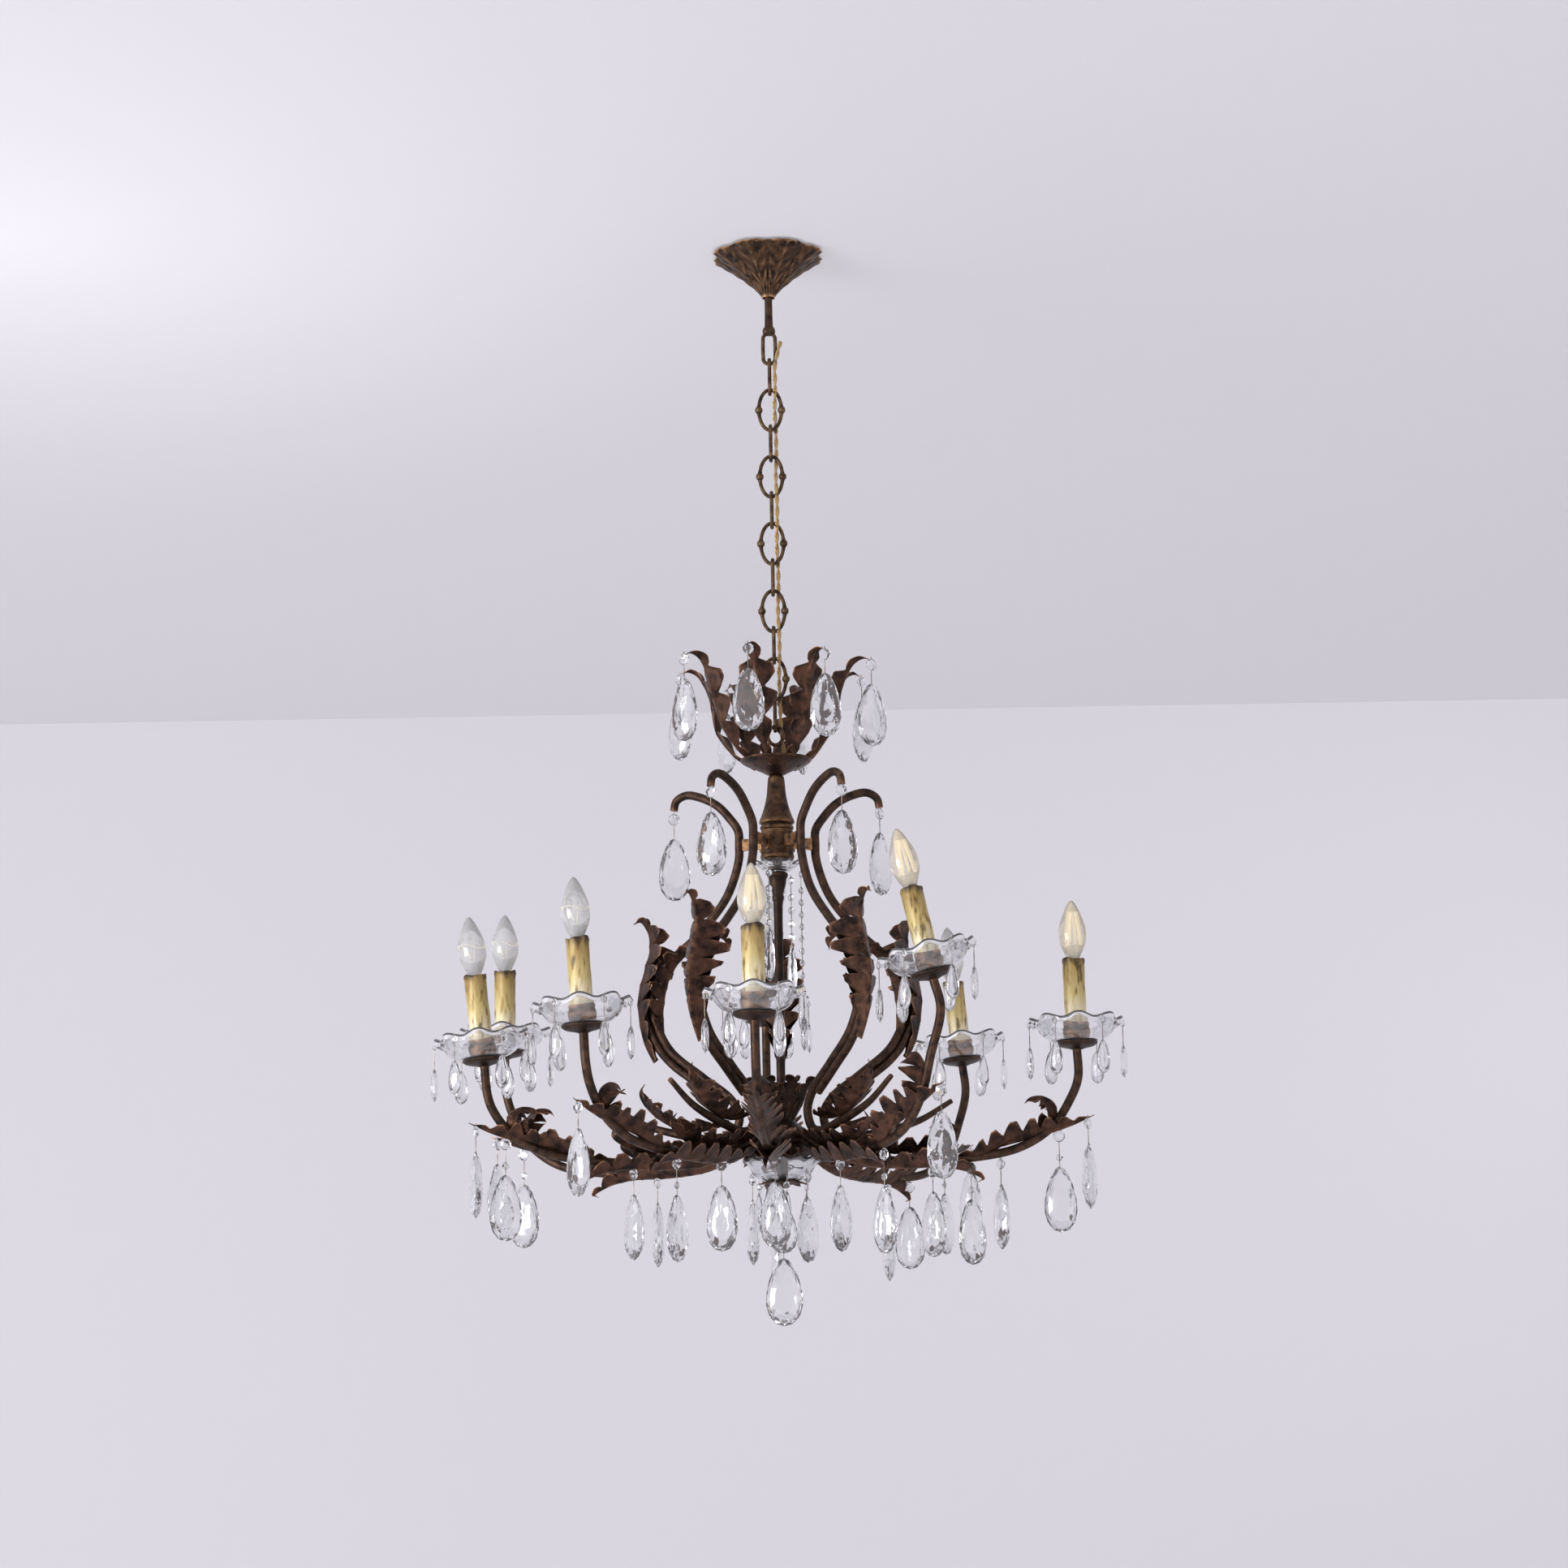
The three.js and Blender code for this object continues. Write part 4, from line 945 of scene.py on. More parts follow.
def centrePieces():
    g = dishes
    glass = newBag()
    low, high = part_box("upper_dish")
    deep, top = (high.z - low.z) / mm, high.z / mm
    flutedDish(glass, g["upperReach"], deep, g["bore"], top, g["upperWall"], g["upperFlutes"])
    makePiece("upper_glass_dish", glass, cutGlass, "fixture", ["upper_dish"], sharp=50)
    glass = newBag()
    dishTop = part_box("lower_dish")[1].z / mm
    flutedDish(glass, g["reach"], g["depth"], g["bore"], dishTop, g["wall"], g["flutes"])
    makePiece("lower_glass_dish", glass, cutGlass, "fixture", ["lower_dish"], sharp=50)
    bag = newBag()
    foot, top = (corner.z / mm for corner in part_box("column"))
    rod, ring = column["rod"], column["ringReach"]
    cone, ringTop, ringFoot = low.z / mm - 0.5, -column["ringTop"], -column["ringFoot"]
    dishFoot = dishTop - g["depth"]
    addTurned(bag, roundedProfile([
        (0, top), (rod, top), (rod, cone), (9, cone), (12, cone - 2), (12, cone - 5), (10, cone - 8),
        (9.5, cone - 14), (6, cone - 26), (6.8, cone - 29), (6.8, cone - 32), (rod, cone - 36), (rod, ringTop),
        (ring, ringTop - 3),
        (ring, ringFoot + 3), (rod, ringFoot), (rod, dishFoot - 0.4), (9, dishFoot - 0.4), (10, dishFoot - 2),
        (8, foot + 1), (4, foot), (0, foot),
    ], 3), segments=40)
    makePiece("column_metal", bag, agedIron, "fixture", ["column"])


hub = {
    "bore": 5.5, "bowl": 30.8, "lowLeaves": 10, "lowTurn": 10, "topLeaves": 8, "topTurn": 22,
    "lowLeaf": {"width": 30, "flip": -1, "lobes": 3, "depth": 0.5, "widest": 0.55},
    "topLeaf": {"width": 28, "lobes": 3, "depth": 0.55, "widest": 0.5},
}


def hubPiece():
    bag = newBag()
    foot, top = (corner.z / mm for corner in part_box("hub"))
    bore, bowl = hub["bore"], hub["bowl"]
    profile = roundedProfile([
        (bore, top), (14, top), (18, top - 5), (29, top - 12), (bowl, top - 16), (bowl, top - 26), (27, top - 31),
        (16, foot + 4), (12, foot), (bore, foot),
    ], 4) + [(bore, top)]
    addTurned(bag, profile, segments=64)
    for n in range(hub["lowLeaves"]):
        radialLeaf(bag, 360 / hub["lowLeaves"] * n + hub["lowTurn"], [
            (12, -foot - 3), (24, -foot - 9), (38, -foot - 15), (50, -foot - 8), (60, -foot + 4),
        ], **hub["lowLeaf"])
    for n in range(hub["topLeaves"]):
        radialLeaf(bag, 360 / hub["topLeaves"] * n + hub["topTurn"], [
            (12, -top + 2), (22, -top - 14), (29, -top - 32), (40, -top - 44), (50, -top - 40),
        ], **hub["topLeaf"])
    makePiece("hub_metal", bag, agedIron, "fixture", ["hub"])


star = {"points": 8, "leaf": {"width": 11, "flip": -1, "lobes": 2, "depth": 0.3, "cup": 0.1}}
prongs = {"count": 4, "turn": 10, "reach": 27, "bead": 8.4, "wire": 4, "pear": (34, 12, 7)}


def starAndProngs():
    # Pressed star, two large drops and short prongs under the lower dish
    bag, glass, wire = newBag(), newBag(), newBag()
    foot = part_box("column")[0].z / mm + 7.3
    for n in range(star["points"]):
        radialLeaf(bag, 360 / star["points"] * n, [
            (6, -foot + 0.6), (14, -foot + 1.6), (22, -foot + 1.4), (29, -foot + 4),
        ], **star["leaf"])
    makePiece("dish_star", bag, agedIron, "fixture")
    for azimuth in dishes["dropAzimuths"]:
        point = at(azimuth, dishes["dropReach"], -foot - dishes["dropRise"])
        hangLarge(glass, wire, point, azimuth, dropSizes["short"])
    for n in range(prongs["count"]):
        azimuth = 360 / prongs["count"] * n + prongs["turn"]
        point = at(azimuth, prongs["reach"], -foot + 1)
        hangPear(glass, wire, point, azimuth, prongs["bead"], prongs["wire"], prongs["pear"])
    makeDrops("dish_drops", glass, "dish_pins", wire)


# Bead strings as (azimuth, reach, length), each with a long spear under it
beadStrings = [(62, 30, 120), (150, 30, 70), (-115, 30, 95), (-20, 30, 60)]
spear = (62, 16, 9)


def cageStrings():
    # They hang inside the cage, from the height of the upper dish's foot
    glass, wire = newBag(), newBag()
    depth = -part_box("upper_dish")[0].z / mm + 1
    for azimuth, reach, length in beadStrings:
        hangPear(glass, wire, at(azimuth, reach, depth), azimuth, dropSizes["smallBead"], length, spear)
    makeDrops("cage_strings", glass, "cage_pins", wire)


lowest = {"bead": (14, 8), "upper": (54, 40, 14), "upperStart": 17, "lower": (76, 52, 18)}


def lowestDrop():
    # A bead, a pear and a larger pear, joined by three wires
    glass, wire = newBag(), newBag()
    low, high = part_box("lowest_drop")
    point = Vector((0, 0, high.z)) + down(2)
    for start, end in ((-1.5, 4), (12, 22), (68, 80)):
        addPin(wire, point + down(start), point + down(end))
    addBead(glass, Matrix.Translation(point), *lowest["bead"])
    addDrop(glass, Matrix.Translation(point + down(lowest["upperStart"])), *lowest["upper"])
    lowerTop = Vector((0, 0, low.z + lowest["lower"][0] * mm))
    addDrop(glass, Matrix.Translation(lowerTop), *lowest["lower"])
    makeDrops("lowest_drop_glass", glass, "lowest_drop_pins", wire, "lowest_drop", ["lowest_drop"])


centrePieces()
hubPiece()
starAndProngs()
cageStrings()
lowestDrop()
print("column, dishes and hub made")


# Lyre scrolls

lyre = {
    "count": 5, "tube": 10, "collarReach": 46, "collarTop": 685, "collarFoot": 727, "hookReach": 122,
    "hookDepth": 642, "bulgeReach": 154, "bulgeDepth": 884, "waistReach": 54, "waistDepth": 1006,
    "tailReach": 205, "turnDrop": 36, "tailRise": 44, "rodGap": 9.4, "rodStart": 0.42, "rodEnd": 0.7, "swinging": 4,
    "outerLeaf": {"width": 58, "lobes": 8, "depth": 0.74, "cup": 1.0, "widest": 0.6, "plain": 0.3},
    "innerLeaf": {"width": 46, "flip": -1, "lobes": 7, "depth": 0.72, "cup": 0.7},
    "tailLeaf": {"width": 50, "lobes": 7, "depth": 0.72, "cup": 0.7, "phase": 0.3},
}


def lyreSpine(azimuth):
    collar, top, foot = lyre["collarReach"], lyre["collarTop"], lyre["collarFoot"]
    hook, hookDepth, bulge, bulgeDepth = lyre["hookReach"], lyre["hookDepth"], lyre["bulgeReach"], lyre["bulgeDepth"]
    waist, waistDepth, tail, rise = lyre["waistReach"], lyre["waistDepth"], lyre["tailReach"], lyre["tailRise"]
    turnDepth = waistDepth + lyre["turnDrop"]
    points = [
        (hook + 3, hookDepth + 17), (hook, hookDepth + 6), (hook - 12, hookDepth), (hook - 30, hookDepth + 4),
        (hook - 50, hookDepth + 15), (collar + 11, hookDepth + 31), (collar + 0.7, top + 4),
        (collar, (top + foot) / 2), (collar + 0.7, foot - 4), (collar + 16, foot + 38),
        ((collar + bulge) / 2, foot + 82), (bulge - 10, bulgeDepth - 36), (bulge, bulgeDepth),
        (bulge - 19, bulgeDepth + 51), ((waist + bulge) / 2 - 9, waistDepth - 36), (waist + 6, waistDepth - 8),
        (waist - 4, turnDepth - 24), (waist + 4, turnDepth - 3), (waist + 22, turnDepth + 2),
        (waist + 46, turnDepth - 2), ((waist + tail) / 2 + 34, turnDepth - rise * 0.45), (tail, turnDepth - rise),
    ]
    return [at(azimuth, *point) for point in points]


def lyreRod(azimuth):
    # Points beside the tube, on its outer side, from the leaf to the bottom curl
    steps = 160
    line = smoothPath(lyreSpine(azimuth), steps + 1)
    inwards = at(azimuth, -1, 0).normalized()
    points = []
    for k in range(9):
        i = round(steps * (lyre["rodStart"] + (lyre["rodEnd"] - lyre["rodStart"]) * k / 8))
        ahead = (line[i + 1] - line[i - 1]).normalized()
        aside = inwards * ahead.z - Vector((0, 0, ahead.dot(inwards)))
        points.append(line[i] + aside * (lyre["rodGap"] * mm))
    return points


def lyreLeaves(bag, azimuth):
    waist, reach, depth = lyre["waistReach"], lyre["bulgeReach"], lyre["bulgeDepth"]
    out = reach + lyre["tube"] / 2
    turnDepth = lyre["waistDepth"] + lyre["turnDrop"]
    # Outer leaf rises over the bulge and its tip curls out, and its plain foot hangs free of the tube
    radialLeaf(bag, azimuth, [
        (out - 9, depth + 66), (out + 2, depth + 44), (out + 8, depth + 20), (out + 10, depth - 8),
        (out + 2, depth - 40), (out - 5, depth - 66), (out - 2, depth - 88), (out + 8, depth - 100),
        (out + 18, depth - 98),
    ], **lyre["outerLeaf"])
    # Inner leaf turns back inside the cage
    radialLeaf(bag, azimuth, [
        (reach - 12, depth + 36), (reach - 12, depth + 4), (reach - 22, depth - 34), (reach - 42, depth - 56),
        (reach - 58, depth - 50), (reach - 60, depth - 40),
    ], **lyre["innerLeaf"])
    # Leaf round the bottom curl and along the tail
    radialLeaf(bag, azimuth, [
        (waist + 8, turnDepth - 20), (waist + 34, turnDepth - 12), (waist + 66, turnDepth - 14),
        (waist + 98, turnDepth - 32), (waist + 114, turnDepth - 56), (waist + 108, turnDepth - 66),
    ], **lyre["tailLeaf"])


def lyreThickness(share):
    # The tube thins towards its tail, and a little at its hook
    tail, hook = max(0, (share - 0.86) / 0.14), max(0, 0.05 - share) / 0.05
    return (lyre["tube"] / 2 * (1 - 0.42 * tail) - 0.5 * hook) * mm


def lyrePieces():
    glass, wire = newBag(), newBag()
    for n in range(1, lyre["count"] + 1):
        azimuth = 72 * (n - 0.5)
        tubes, leaves = newBag(), newBag()
        spine = lyreSpine(azimuth)
        addTube(tubes, spine, lyreThickness, sides=18, samples=190)
        addTube(tubes, lyreRod(azimuth), lyre["tube"] / 2 * 0.94 * mm, sides=18, samples=60)
        lyreLeaves(leaves, azimuth)
        makePiece(f"lyre_scroll_{n}", tubes, agedIron, "fixture", [f"lyre_{n}"])
        makePiece(f"lyre_leaves_{n}", leaves, copperLeaf, "fixture")
        if n != lyre["swinging"]:
            hangLarge(glass, wire, spine[0] + down(-1), facing(azimuth), dropSizes["short"])
    makeDrops("hook_drops", glass, "hook_pins", wire)
    # One hook's drop swings by itself
    glass, wire = newBag(), newBag()
    azimuth = 72 * (lyre["swinging"] - 0.5)
    hangLarge(glass, wire, lyreSpine(azimuth)[0] + down(2.3), azimuth - 60, dropSizes["short"])
    makeDrops("swinging_hook_drop", glass, "swinging_hook_pins", wire, "hook_drop", ["hook_drop"])


lyrePieces()
print("lyres made")


# Lamps

arm = {
    "tube": 10, "root": 1044.05, "dip": 1073.05, "hub": 31, "reach": 330, "rise": 140,
    "lowLeaf": {"width": 46, "lobes": 8, "depth": 0.64, "cup": 0.9},
    "topLeaf": {"width": 50, "lobes": 7, "depth": 0.68, "cup": 0.75, "phase": 0.4},
    "elbowLeaf": {"width": 42, "lobes": 8, "depth": 0.68, "cup": 0.95, "phase": 0.2, "widest": 0.4},
    "bendLeaf": {"width": 44, "lobes": 6, "depth": 0.7, "cup": 0.85, "widest": 0.6},
}

# Reach and rise are shares of the common ones, as in the solids, and drops are shares of the reach
lamps = [
    {"azimuth": -77, "reach": 1.025, "rise": 0.745, "lean": 6, "led": False, "drops": [1.03, 0.93, 0.5]},
    {"azimuth": -112, "reach": 1.05, "rise": 1.005, "lean": 0, "led": False, "drops": [1.03, 0.93, 0.45]},
    {"azimuth": -40, "reach": 0.99, "rise": 0.825, "lean": 3.5, "led": False, "drops": [1.03, 0.55, 0.32]},
    {"azimuth": -5, "reach": 0.91, "rise": 0.845, "lean": 0.5, "led": True, "drops": [0.3]},
    {"azimuth": 35, "reach": 0.88, "rise": 1.205, "lean": 12.5, "led": True, "drops": [1.03, 0.66, 0.38]},
    {"azimuth": 143, "reach": 1.1, "rise": 1.035, "lean": 5, "led": False, "drops": [1.03, 0.88, 0.68, 0.56]},
    {"azimuth": 85, "reach": 1.015, "rise": 0.85, "lean": 0.5, "led": True, "drops": [1.03, 0.93, 0.74, 0.64, 0.5]},
    {"azimuth": 183, "reach": 1.045, "rise": 1.46, "lean": 0, "led": False, "drops": [0.9, 0.5]},
]
for lamp in lamps:
    lamp["reach"] *= arm["reach"]
    lamp["rise"] *= arm["rise"]
    lamp["depth"] = arm["dip"] - lamp["rise"]


def lampMatrix(lamp):
    place = Matrix.Translation(at(lamp["azimuth"], lamp["reach"], lamp["depth"]))
    return place @ Matrix.Rotation(math.radians(-lamp["lean"]), 4, "Y")


def armSpine(lamp):
    a, reach, rise = lamp["azimuth"], lamp["reach"], lamp["rise"]
    matrix = lampMatrix(lamp)
    return [
        at(a, arm["hub"] + 0.3, arm["root"]),
        at(a, arm["hub"] + 8, arm["root"]),
        at(a, arm["hub"] + 34, (arm["root"] + arm["dip"]) / 2),
        at(a, reach * 0.36, arm["dip"]),
        at(a, reach * 0.62, arm["dip"]),
        at(a, reach * 0.8, arm["dip"] - rise * 0.09),
        at(a, reach * 0.91, arm["dip"] - rise * 0.28),
        at(a, reach * 0.97, arm["dip"] - rise * 0.52),
        matrix @ Vector((0, 0, -32 * mm)),
        matrix @ Vector((0, 0, 2 * mm)),
    ]


def elbowLine(lamp):
    # The elbow leaf's own line, as (reach, depth)
    reach, base = lamp["reach"], arm["dip"] - lamp["rise"] * 0.26
    return [(reach * 0.76, base + 14), (reach * 0.88, base + 6), (reach * 0.97, base - 4), (reach * 1.05, base - 16)]


def underArm(lamp, share):
    onLeaf = share > 0.85
    line = [at(lamp["azimuth"], *p) for p in elbowLine(lamp)] if onLeaf else armSpine(lamp)
    sought = lamp["reach"] * share * mm
    nearest = min(smoothPath(line, 81), key=lambda p: abs(math.hypot(p.x, p.y) - sought))
    return nearest - Vector((0, 0, 0 if onLeaf else (arm["tube"] / 2 - 1) * mm))


def armPiece(n, lamp):
    bag, leaves = newBag(), newBag()
    a, reach, rise, dip = lamp["azimuth"], lamp["reach"], lamp["rise"], arm["dip"]
    addTube(bag, armSpine(lamp), arm["tube"] / 2 * mm, sides=18, samples=90)
    low = dip + arm["tube"] / 2
    elbow = dip - rise * 0.12
    # Long leaf under the arm, its tip turned down
    radialLeaf(leaves, a, [
        (reach * 0.15, dip - 12), (reach * 0.26, low - 2), (reach * 0.40, low + 3), (reach * 0.54, low + 3),
        (reach * 0.63, low + 9), (reach * 0.68, low + 19), (reach * 0.66, low + 24),
    ], **arm["lowLeaf"])
    # Leaf over the arm, from the hub outwards, with a raised tip
    radialLeaf(leaves, a, [
        (reach * 0.12, dip - 32), (reach * 0.24, dip - 18), (reach * 0.38, dip - 9), (reach * 0.50, dip - 14),
        (reach * 0.57, dip - 30), (reach * 0.54, dip - 40),
    ], **arm["topLeaf"])
    # Elbow leaf, its point running out past the bend
    radialLeaf(leaves, a, [
        (reach * 0.58, low - 3), (reach * 0.67, low - rise * 0.06), *elbowLine(lamp),
    ], **arm["elbowLeaf"])
    # Small leaf inside the bend, tip curled over
    radialLeaf(leaves, a, [
        (reach * 0.74, elbow), (reach * 0.86, elbow - rise * 0.1), (reach * 0.92, elbow - rise * 0.26),
        (reach * 0.915, elbow - rise * 0.37), (reach * 0.88, elbow - rise * 0.43),
        (reach * 0.84, elbow - rise * 0.42), (reach * 0.825, elbow - rise * 0.37),
    ], **arm["bendLeaf"])
    # Pan with a turned lip, and a short post that stands inside the sleeve
    addTurned(bag, roundedProfile([
        (0, 0), (6, 0), (9, 1.5), (20, 4), (24, 7.2), (24.2, 8), (22.5, 8), (18, 6.5), (6, 6), (5, 8), (5, 15),
        (0, 15),
    ], 3), matrix=lampMatrix(lamp), segments=40)
    makePiece(f"lamp_arm_{n}", bag, agedIron, "fixture", [f"arm_{n}"])
    makePiece(f"lamp_leaves_{n}", leaves, copperLeaf, "fixture")


candle = {
    "dishFoot": 8.3, "dishDepth": 28, "dishReach": 56, "sleeveFoot": 11.6, "sleeveLength": 93, "bulbLength": 67,
    "bulbReach": 16, "cupTop": 30, "smallDrops": 6, "smallBead": 8.4, "smallWire": 20, "smallPear": (38, 20, 8),
    "smallLoose": 12, "sleeveReach": 12.4, "sleeveBore": 11.2,
}


def lampGlass(n, lamp):
    matrix = lampMatrix(lamp)
    glass, wire = newBag(), newBag()
    g = candle
    rim = g["dishFoot"] + g["dishDepth"]
    flutedDish(glass, g["dishReach"], g["dishDepth"], 6, rim, 2.6, 8, wave=0.10, ruffle=3.0, matrix=matrix, curl=0.22)
    for k in range(g["smallDrops"]):
        azimuth = 360 / g["smallDrops"] * k + 90
        point = matrix @ at(azimuth, g["dishReach"] * 0.94, -(rim - 3))
        turn = azimuth + rng.uniform(-g["smallLoose"], g["smallLoose"])
        hangPear(glass, wire, point, turn, g["smallBead"], g["smallWire"], g["smallPear"])
    makePiece(f"bobeche_glass_{n}", glass, cutGlass, "fixture", [f"bobeche_{n}"], sharp=35)
    makePiece(f"bobeche_pins_{n}", wire, pinWire, "fixture")


def addSleeve(n, matrix, foot, top):
    length = top - foot

    def drip(r, z, turn):
        if z < top - 4:
            return r + 0.25 * math.sin(3 * turn + z * 0.08) * (z - foot) / length, z
        return r, z - 1.4 - 1.2 * math.sin(2 * turn + n) - 0.6 * math.sin(5 * turn + 2 * n)

    outside, bore = candle["sleeveReach"], candle["sleeveBore"]
    profile = [(bore + 0.2, foot), (outside, foot), (outside, foot + 8)]
    profile += [(outside - 0.1 + 0.15 * math.sin(k), foot + 8 + k * (length - 15) / 16) for k in range(1, 17)]
    profile += [(outside + 0.5, top - 5), (outside + 0.5, top - 2), (outside, top), (bore, top), (bore, top - 4)]
    profile.append((bore + 0.1, foot + 4))
    bag = newBag()
    addTurned(bag, profile + profile[:1], matrix=matrix, segments=40, shape=drip)
    makePiece(f"candle_{n}", bag, candleGold, "fixture", [f"candle_sleeve_{n}"])


def addBulb(n, matrix, top, tint):
    # Thin glass with an inner wall, a base inside the sleeve and a glass stalk
    wide, tall = candle["bulbReach"], candle["bulbLength"]
    shape = [
        (0.43, 0), (0.49, 0.05), (0.72, 0.16), (0.94, 0.29), (1, 0.41), (0.95, 0.54), (0.77, 0.69), (0.52, 0.83),
        (0.30, 0.93), (0.11, 0.99), (0, 1),
    ]
    outer = roundedProfile([(r * wide, top - 2 + z * (tall + 1)) for r, z in shape], 3)
    inner = [(max(r - 0.7, 0), z - 0.5 if z > top + 2 else z + 0.6) for r, z in reversed(outer)]
    bag = newBag()
    addTurned(bag, outer, matrix=matrix)
    addTurned(bag, inner, matrix=matrix)
    makePiece(f"bulb_glass_{n}", bag, tint, "fixture", [f"bulb_{n}"])
    bag = newBag()
    addTurned(bag, roundedProfile([
        (0, top - 43), (3, top - 43), (6.6, top - 40), (7, top - 36), (6.8, top - 24), (7, top - 10),
        (7.4, top - 2.4), (6.4, top - 1.6), (0, top - 1.6),
    ], 2), matrix=matrix, segments=24)
    makePiece(f"bulb_base_{n}", bag, pinWire, "fixture")
    bag = newBag()
    addTurned(bag, roundedProfile([
        (0, top - 1.5), (4.6, top - 1.5), (2.6, top + 4), (1.6, top + 13), (1.8, top + 19), (0, top + 20),
    ], 3), matrix=matrix, segments=16)
    makePiece(f"bulb_stalk_{n}", bag, bulbGlass, "fixture")


def addFilament(n, matrix, top, led):
    # Filament rods that lean together, or a fine wire between two posts
    bag = newBag()
    if led:
        for k in range(4):
            azimuth = 90 * k + 20
            low, high = matrix @ at(azimuth, 4.6, -top - 17), matrix @ at(azimuth, 2.4, -top - 50)
            addTube(bag, [low, (low + high) / 2, high], 1.1 * mm, sides=8, samples=6)
    else:
        points = [matrix @ at(40 * k, 6.5 + 0.8 * (k % 2), -(top + 28 + 5 * (k % 2))) for k in range(9)]
        addTube(bag, points, 0.22 * mm, sides=5, samples=60)
    for azimuth in (20, 200):
        post = [matrix @ at(azimuth, reach, -top - rise) for reach, rise in ((1, 16), (4, 22), (6, 28))]
        addTube(bag, post, 0.3 * mm, sides=5, samples=8)
    makePiece(f"bulb_filament_{n}", bag, filament, "fixture")


def addSleeveCup(n, matrix, foot, top):
    # Brown cup that holds the sleeve's foot, seen through the glass dish
    bag = newBag()
    cup = [
        (12.7, foot + 0.2), (14.2, foot + 1), (15.6, foot + 6), (15, foot + 12), (13.6, top - 2), (14.2, top),
        (13.1, top), (12.9, foot + 12), (12.7, foot + 0.2),
    ]
    addTurned(bag, cup, matrix=matrix, segments=32)
    makePiece(f"sleeve_cup_{n}", bag, copperSheet, "fixture")


def sleeveAndBulb(n, lamp):
    matrix = lampMatrix(lamp)
    foot = candle["sleeveFoot"]
    top = foot + candle["sleeveLength"]
    addSleeve(n, matrix, foot, top)
    addBulb(n, matrix, top, warmGlass if lamp["led"] else bulbGlass)
    addFilament(n, matrix, top, lamp["led"])
    addSleeveCup(n, matrix, foot, candle["cupTop"])


def armDrops():
    for n, lamp in enumerate(lamps, 1):
        glass, wire = newBag(), newBag()
        for i, share in enumerate(lamp["drops"]):
            length = dropSizes["long"] if i % 2 else dropSizes["short"]
            hangLarge(glass, wire, underArm(lamp, share), lamp["azimuth"] - 10 - 75 * i, length)
        makeDrops(f"arm_drops_{n}", glass, f"arm_pins_{n}", wire)


for number, lamp in enumerate(lamps, 1):
    armPiece(number, lamp)
    lampGlass(number, lamp)
    sleeveAndBulb(number, lamp)
armDrops()
print("lamps made")


# Room: a pale floor, a pale wall and ceiling that are seen from their front only, with painted pools of light on the
# wall and ceiling, and soft light

# The ceiling and wall spots are painted pools of light, each with its place, reach and extra glow
room = {
    "ceiling": (0.545, 0.535, 0.56), "wall": (0.515, 0.502, 0.53), "floor": (0.60, 0.59, 0.61),
    "around": (0.70, 0.69, 0.72), "back": 2.45, "front": -7, "wide": 7.0, "top": 0.002, "low": -2.7,
    "glow": 0.35, "ceilingLightPool": {"place": (-0.9, -0.1, 0), "reach": 1.3, "glow": 0.40},
    "wallLightPool": {"place": (1.4, 2.45, -0.6), "reach": 2.2, "glow": 0.2},
}


def oneSided(name, colour, spot=None):
    # Paint with a soft even glow of its own, seen from its front only, and brighter round a painted pool of light
    material, tree, shader = startMaterial(name)
    shader.inputs["Base Color"].default_value = (*colour, 1)
    shader.inputs["Emission Color"].default_value = (*colour, 1)
    shader.inputs["Roughness"].default_value = 0.9
    place = tree.nodes.new("ShaderNodeTexCoord")
    # The spot is a painted pool of light, where the glow rises above the backdrop's even glow
    spot = spot or {"place": (0, 0, 0), "reach": 1, "glow": 0}
    move = addNode(tree, "ShaderNodeMapping", vector_type="TEXTURE", Location=spot["place"])
    move.inputs["Scale"].default_value = [spot["reach"]] * 3
    ball = tree.nodes.new("ShaderNodeTexGradient")
    ball.gradient_type = "QUADRATIC_SPHERE"
    glow = addNode(tree, "ShaderNodeMapRange", To_Min=room["glow"], To_Max=room["glow"] + spot["glow"])
    joinNodes(
        tree, (place, "Object", move, "Vector"), (move, "Vector", ball, "Vector"), (ball, "Fac", glow, "Value"),
        (glow, "Result", shader, "Emission Strength"),
    )
    side = tree.nodes.new("ShaderNodeNewGeometry")
    clear = tree.nodes.new("ShaderNodeBsdfTransparent")
    mix = tree.nodes.new("ShaderNodeMixShader")
    joinNodes(
        tree, (side, "Backfacing", mix, 0), (shader, "BSDF", mix, 1), (clear, "BSDF", mix, 2),
        (mix, "Shader", tree.nodes["Material Output"], "Surface"),
    )
    return material


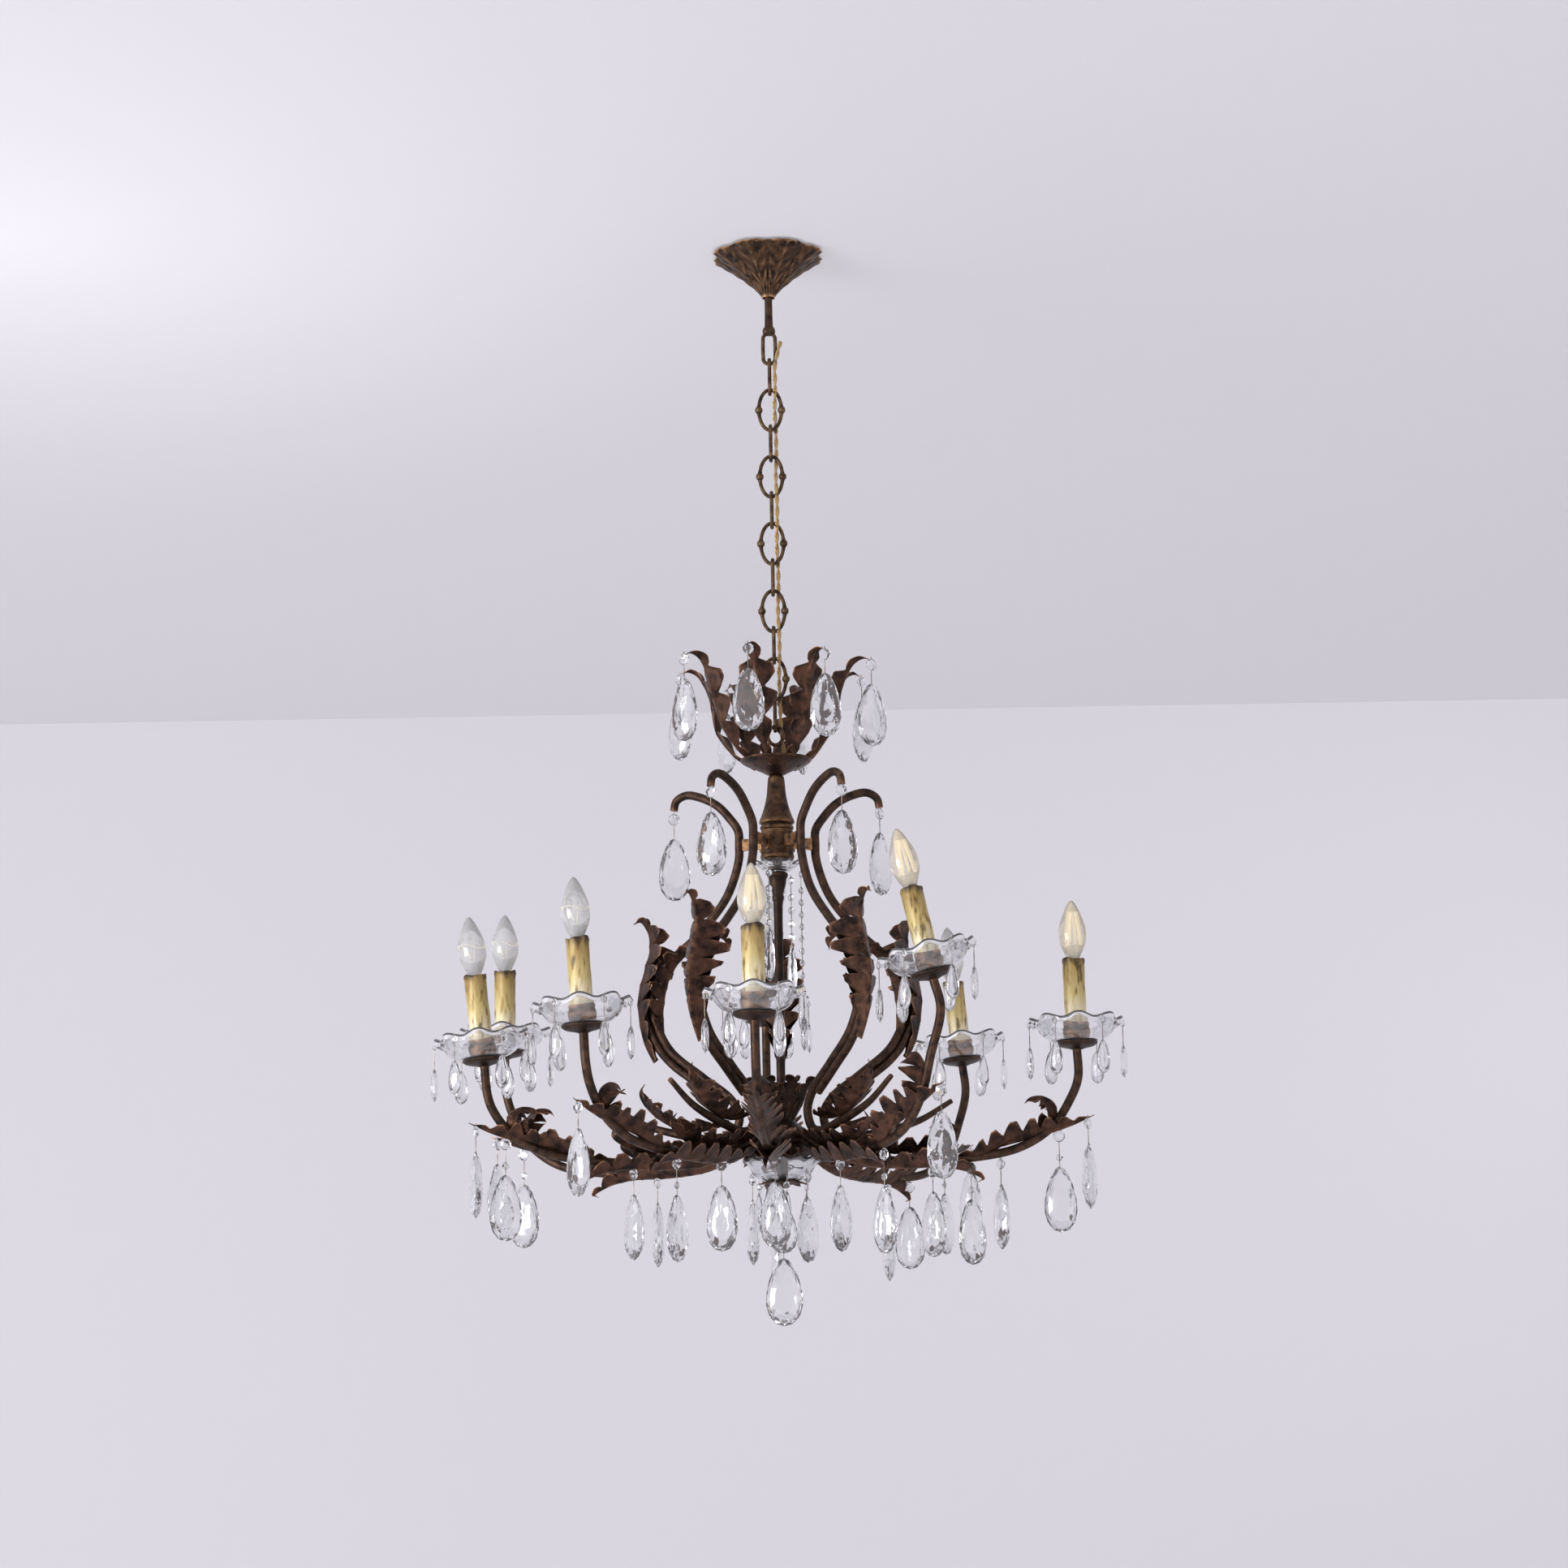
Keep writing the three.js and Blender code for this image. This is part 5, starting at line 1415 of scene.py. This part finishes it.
def addSheet(name, corners, material):
    mesh = bpy.data.meshes.new(name)
    mesh.from_pydata(corners, [], [tuple(range(len(corners)))])
    mesh.materials.append(material)
    sheet = bpy.data.objects.new(name, mesh)
    bpy.context.scene.collection.objects.link(sheet)


def addRoom():
    back, front, wide, top, low = (room[key] for key in ("back", "front", "wide", "top", "low"))
    addSheet("ceiling_backdrop", [(-wide, front, top), (-wide, back, top), (wide, back, top), (wide, front, top)],
             oneSided("ceiling paint", room["ceiling"], room["ceilingLightPool"]))
    addSheet("wall_backdrop", [(-wide, back, low), (wide, back, low), (wide, back, top), (-wide, back, top)],
             oneSided("wall paint", room["wall"], room["wallLightPool"]))
    addSheet("floor", [(-wide, front, low), (wide, front, low), (wide, back, low), (-wide, back, low)],
             oneSided("floor paint", room["floor"]))


lights = [
    {"name": "window", "place": (-3.4, -2.5, -0.9), "aim": (0, 0.1, -0.7), "size": (2.2, 1.7), "power": 112,
     "colour": (0.98, 0.985, 1.0)},
    {"name": "fill", "place": (3.2, -3.4, -1.6), "aim": (0, 0, -0.8), "size": (2.5, 2.0), "power": 11,
     "colour": (1.0, 0.97, 0.94)},
    {"name": "bounce", "place": (0, -0.5, -2.6), "aim": (0, 0, 0), "size": (4, 4), "power": 12,
     "colour": (0.98, 0.97, 1.0)},
]


def addAreaLight(name, place, aim, size, power, colour):
    data = bpy.data.lights.new(name, "AREA")
    data.shape = "RECTANGLE"
    data.size, data.size_y = size
    data.energy = power
    data.color = colour
    light = bpy.data.objects.new(name, data)
    bpy.context.scene.collection.objects.link(light)
    light.location = place
    light.rotation_mode = "QUATERNION"
    light.rotation_quaternion = (Vector(aim) - Vector(place)).to_track_quat("-Z", "Y")


def addLight():
    world = bpy.data.worlds.new("world")
    bpy.context.scene.world = world
    world.use_nodes = True
    background = world.node_tree.nodes["Background"]
    background.inputs["Color"].default_value = (*room["around"], 1)
    background.inputs["Strength"].default_value = 1.0
    for light in lights:
        addAreaLight(**light)


addRoom()
addLight()
bpy.context.scene.view_settings.view_transform = "Standard"
print("room and light made")
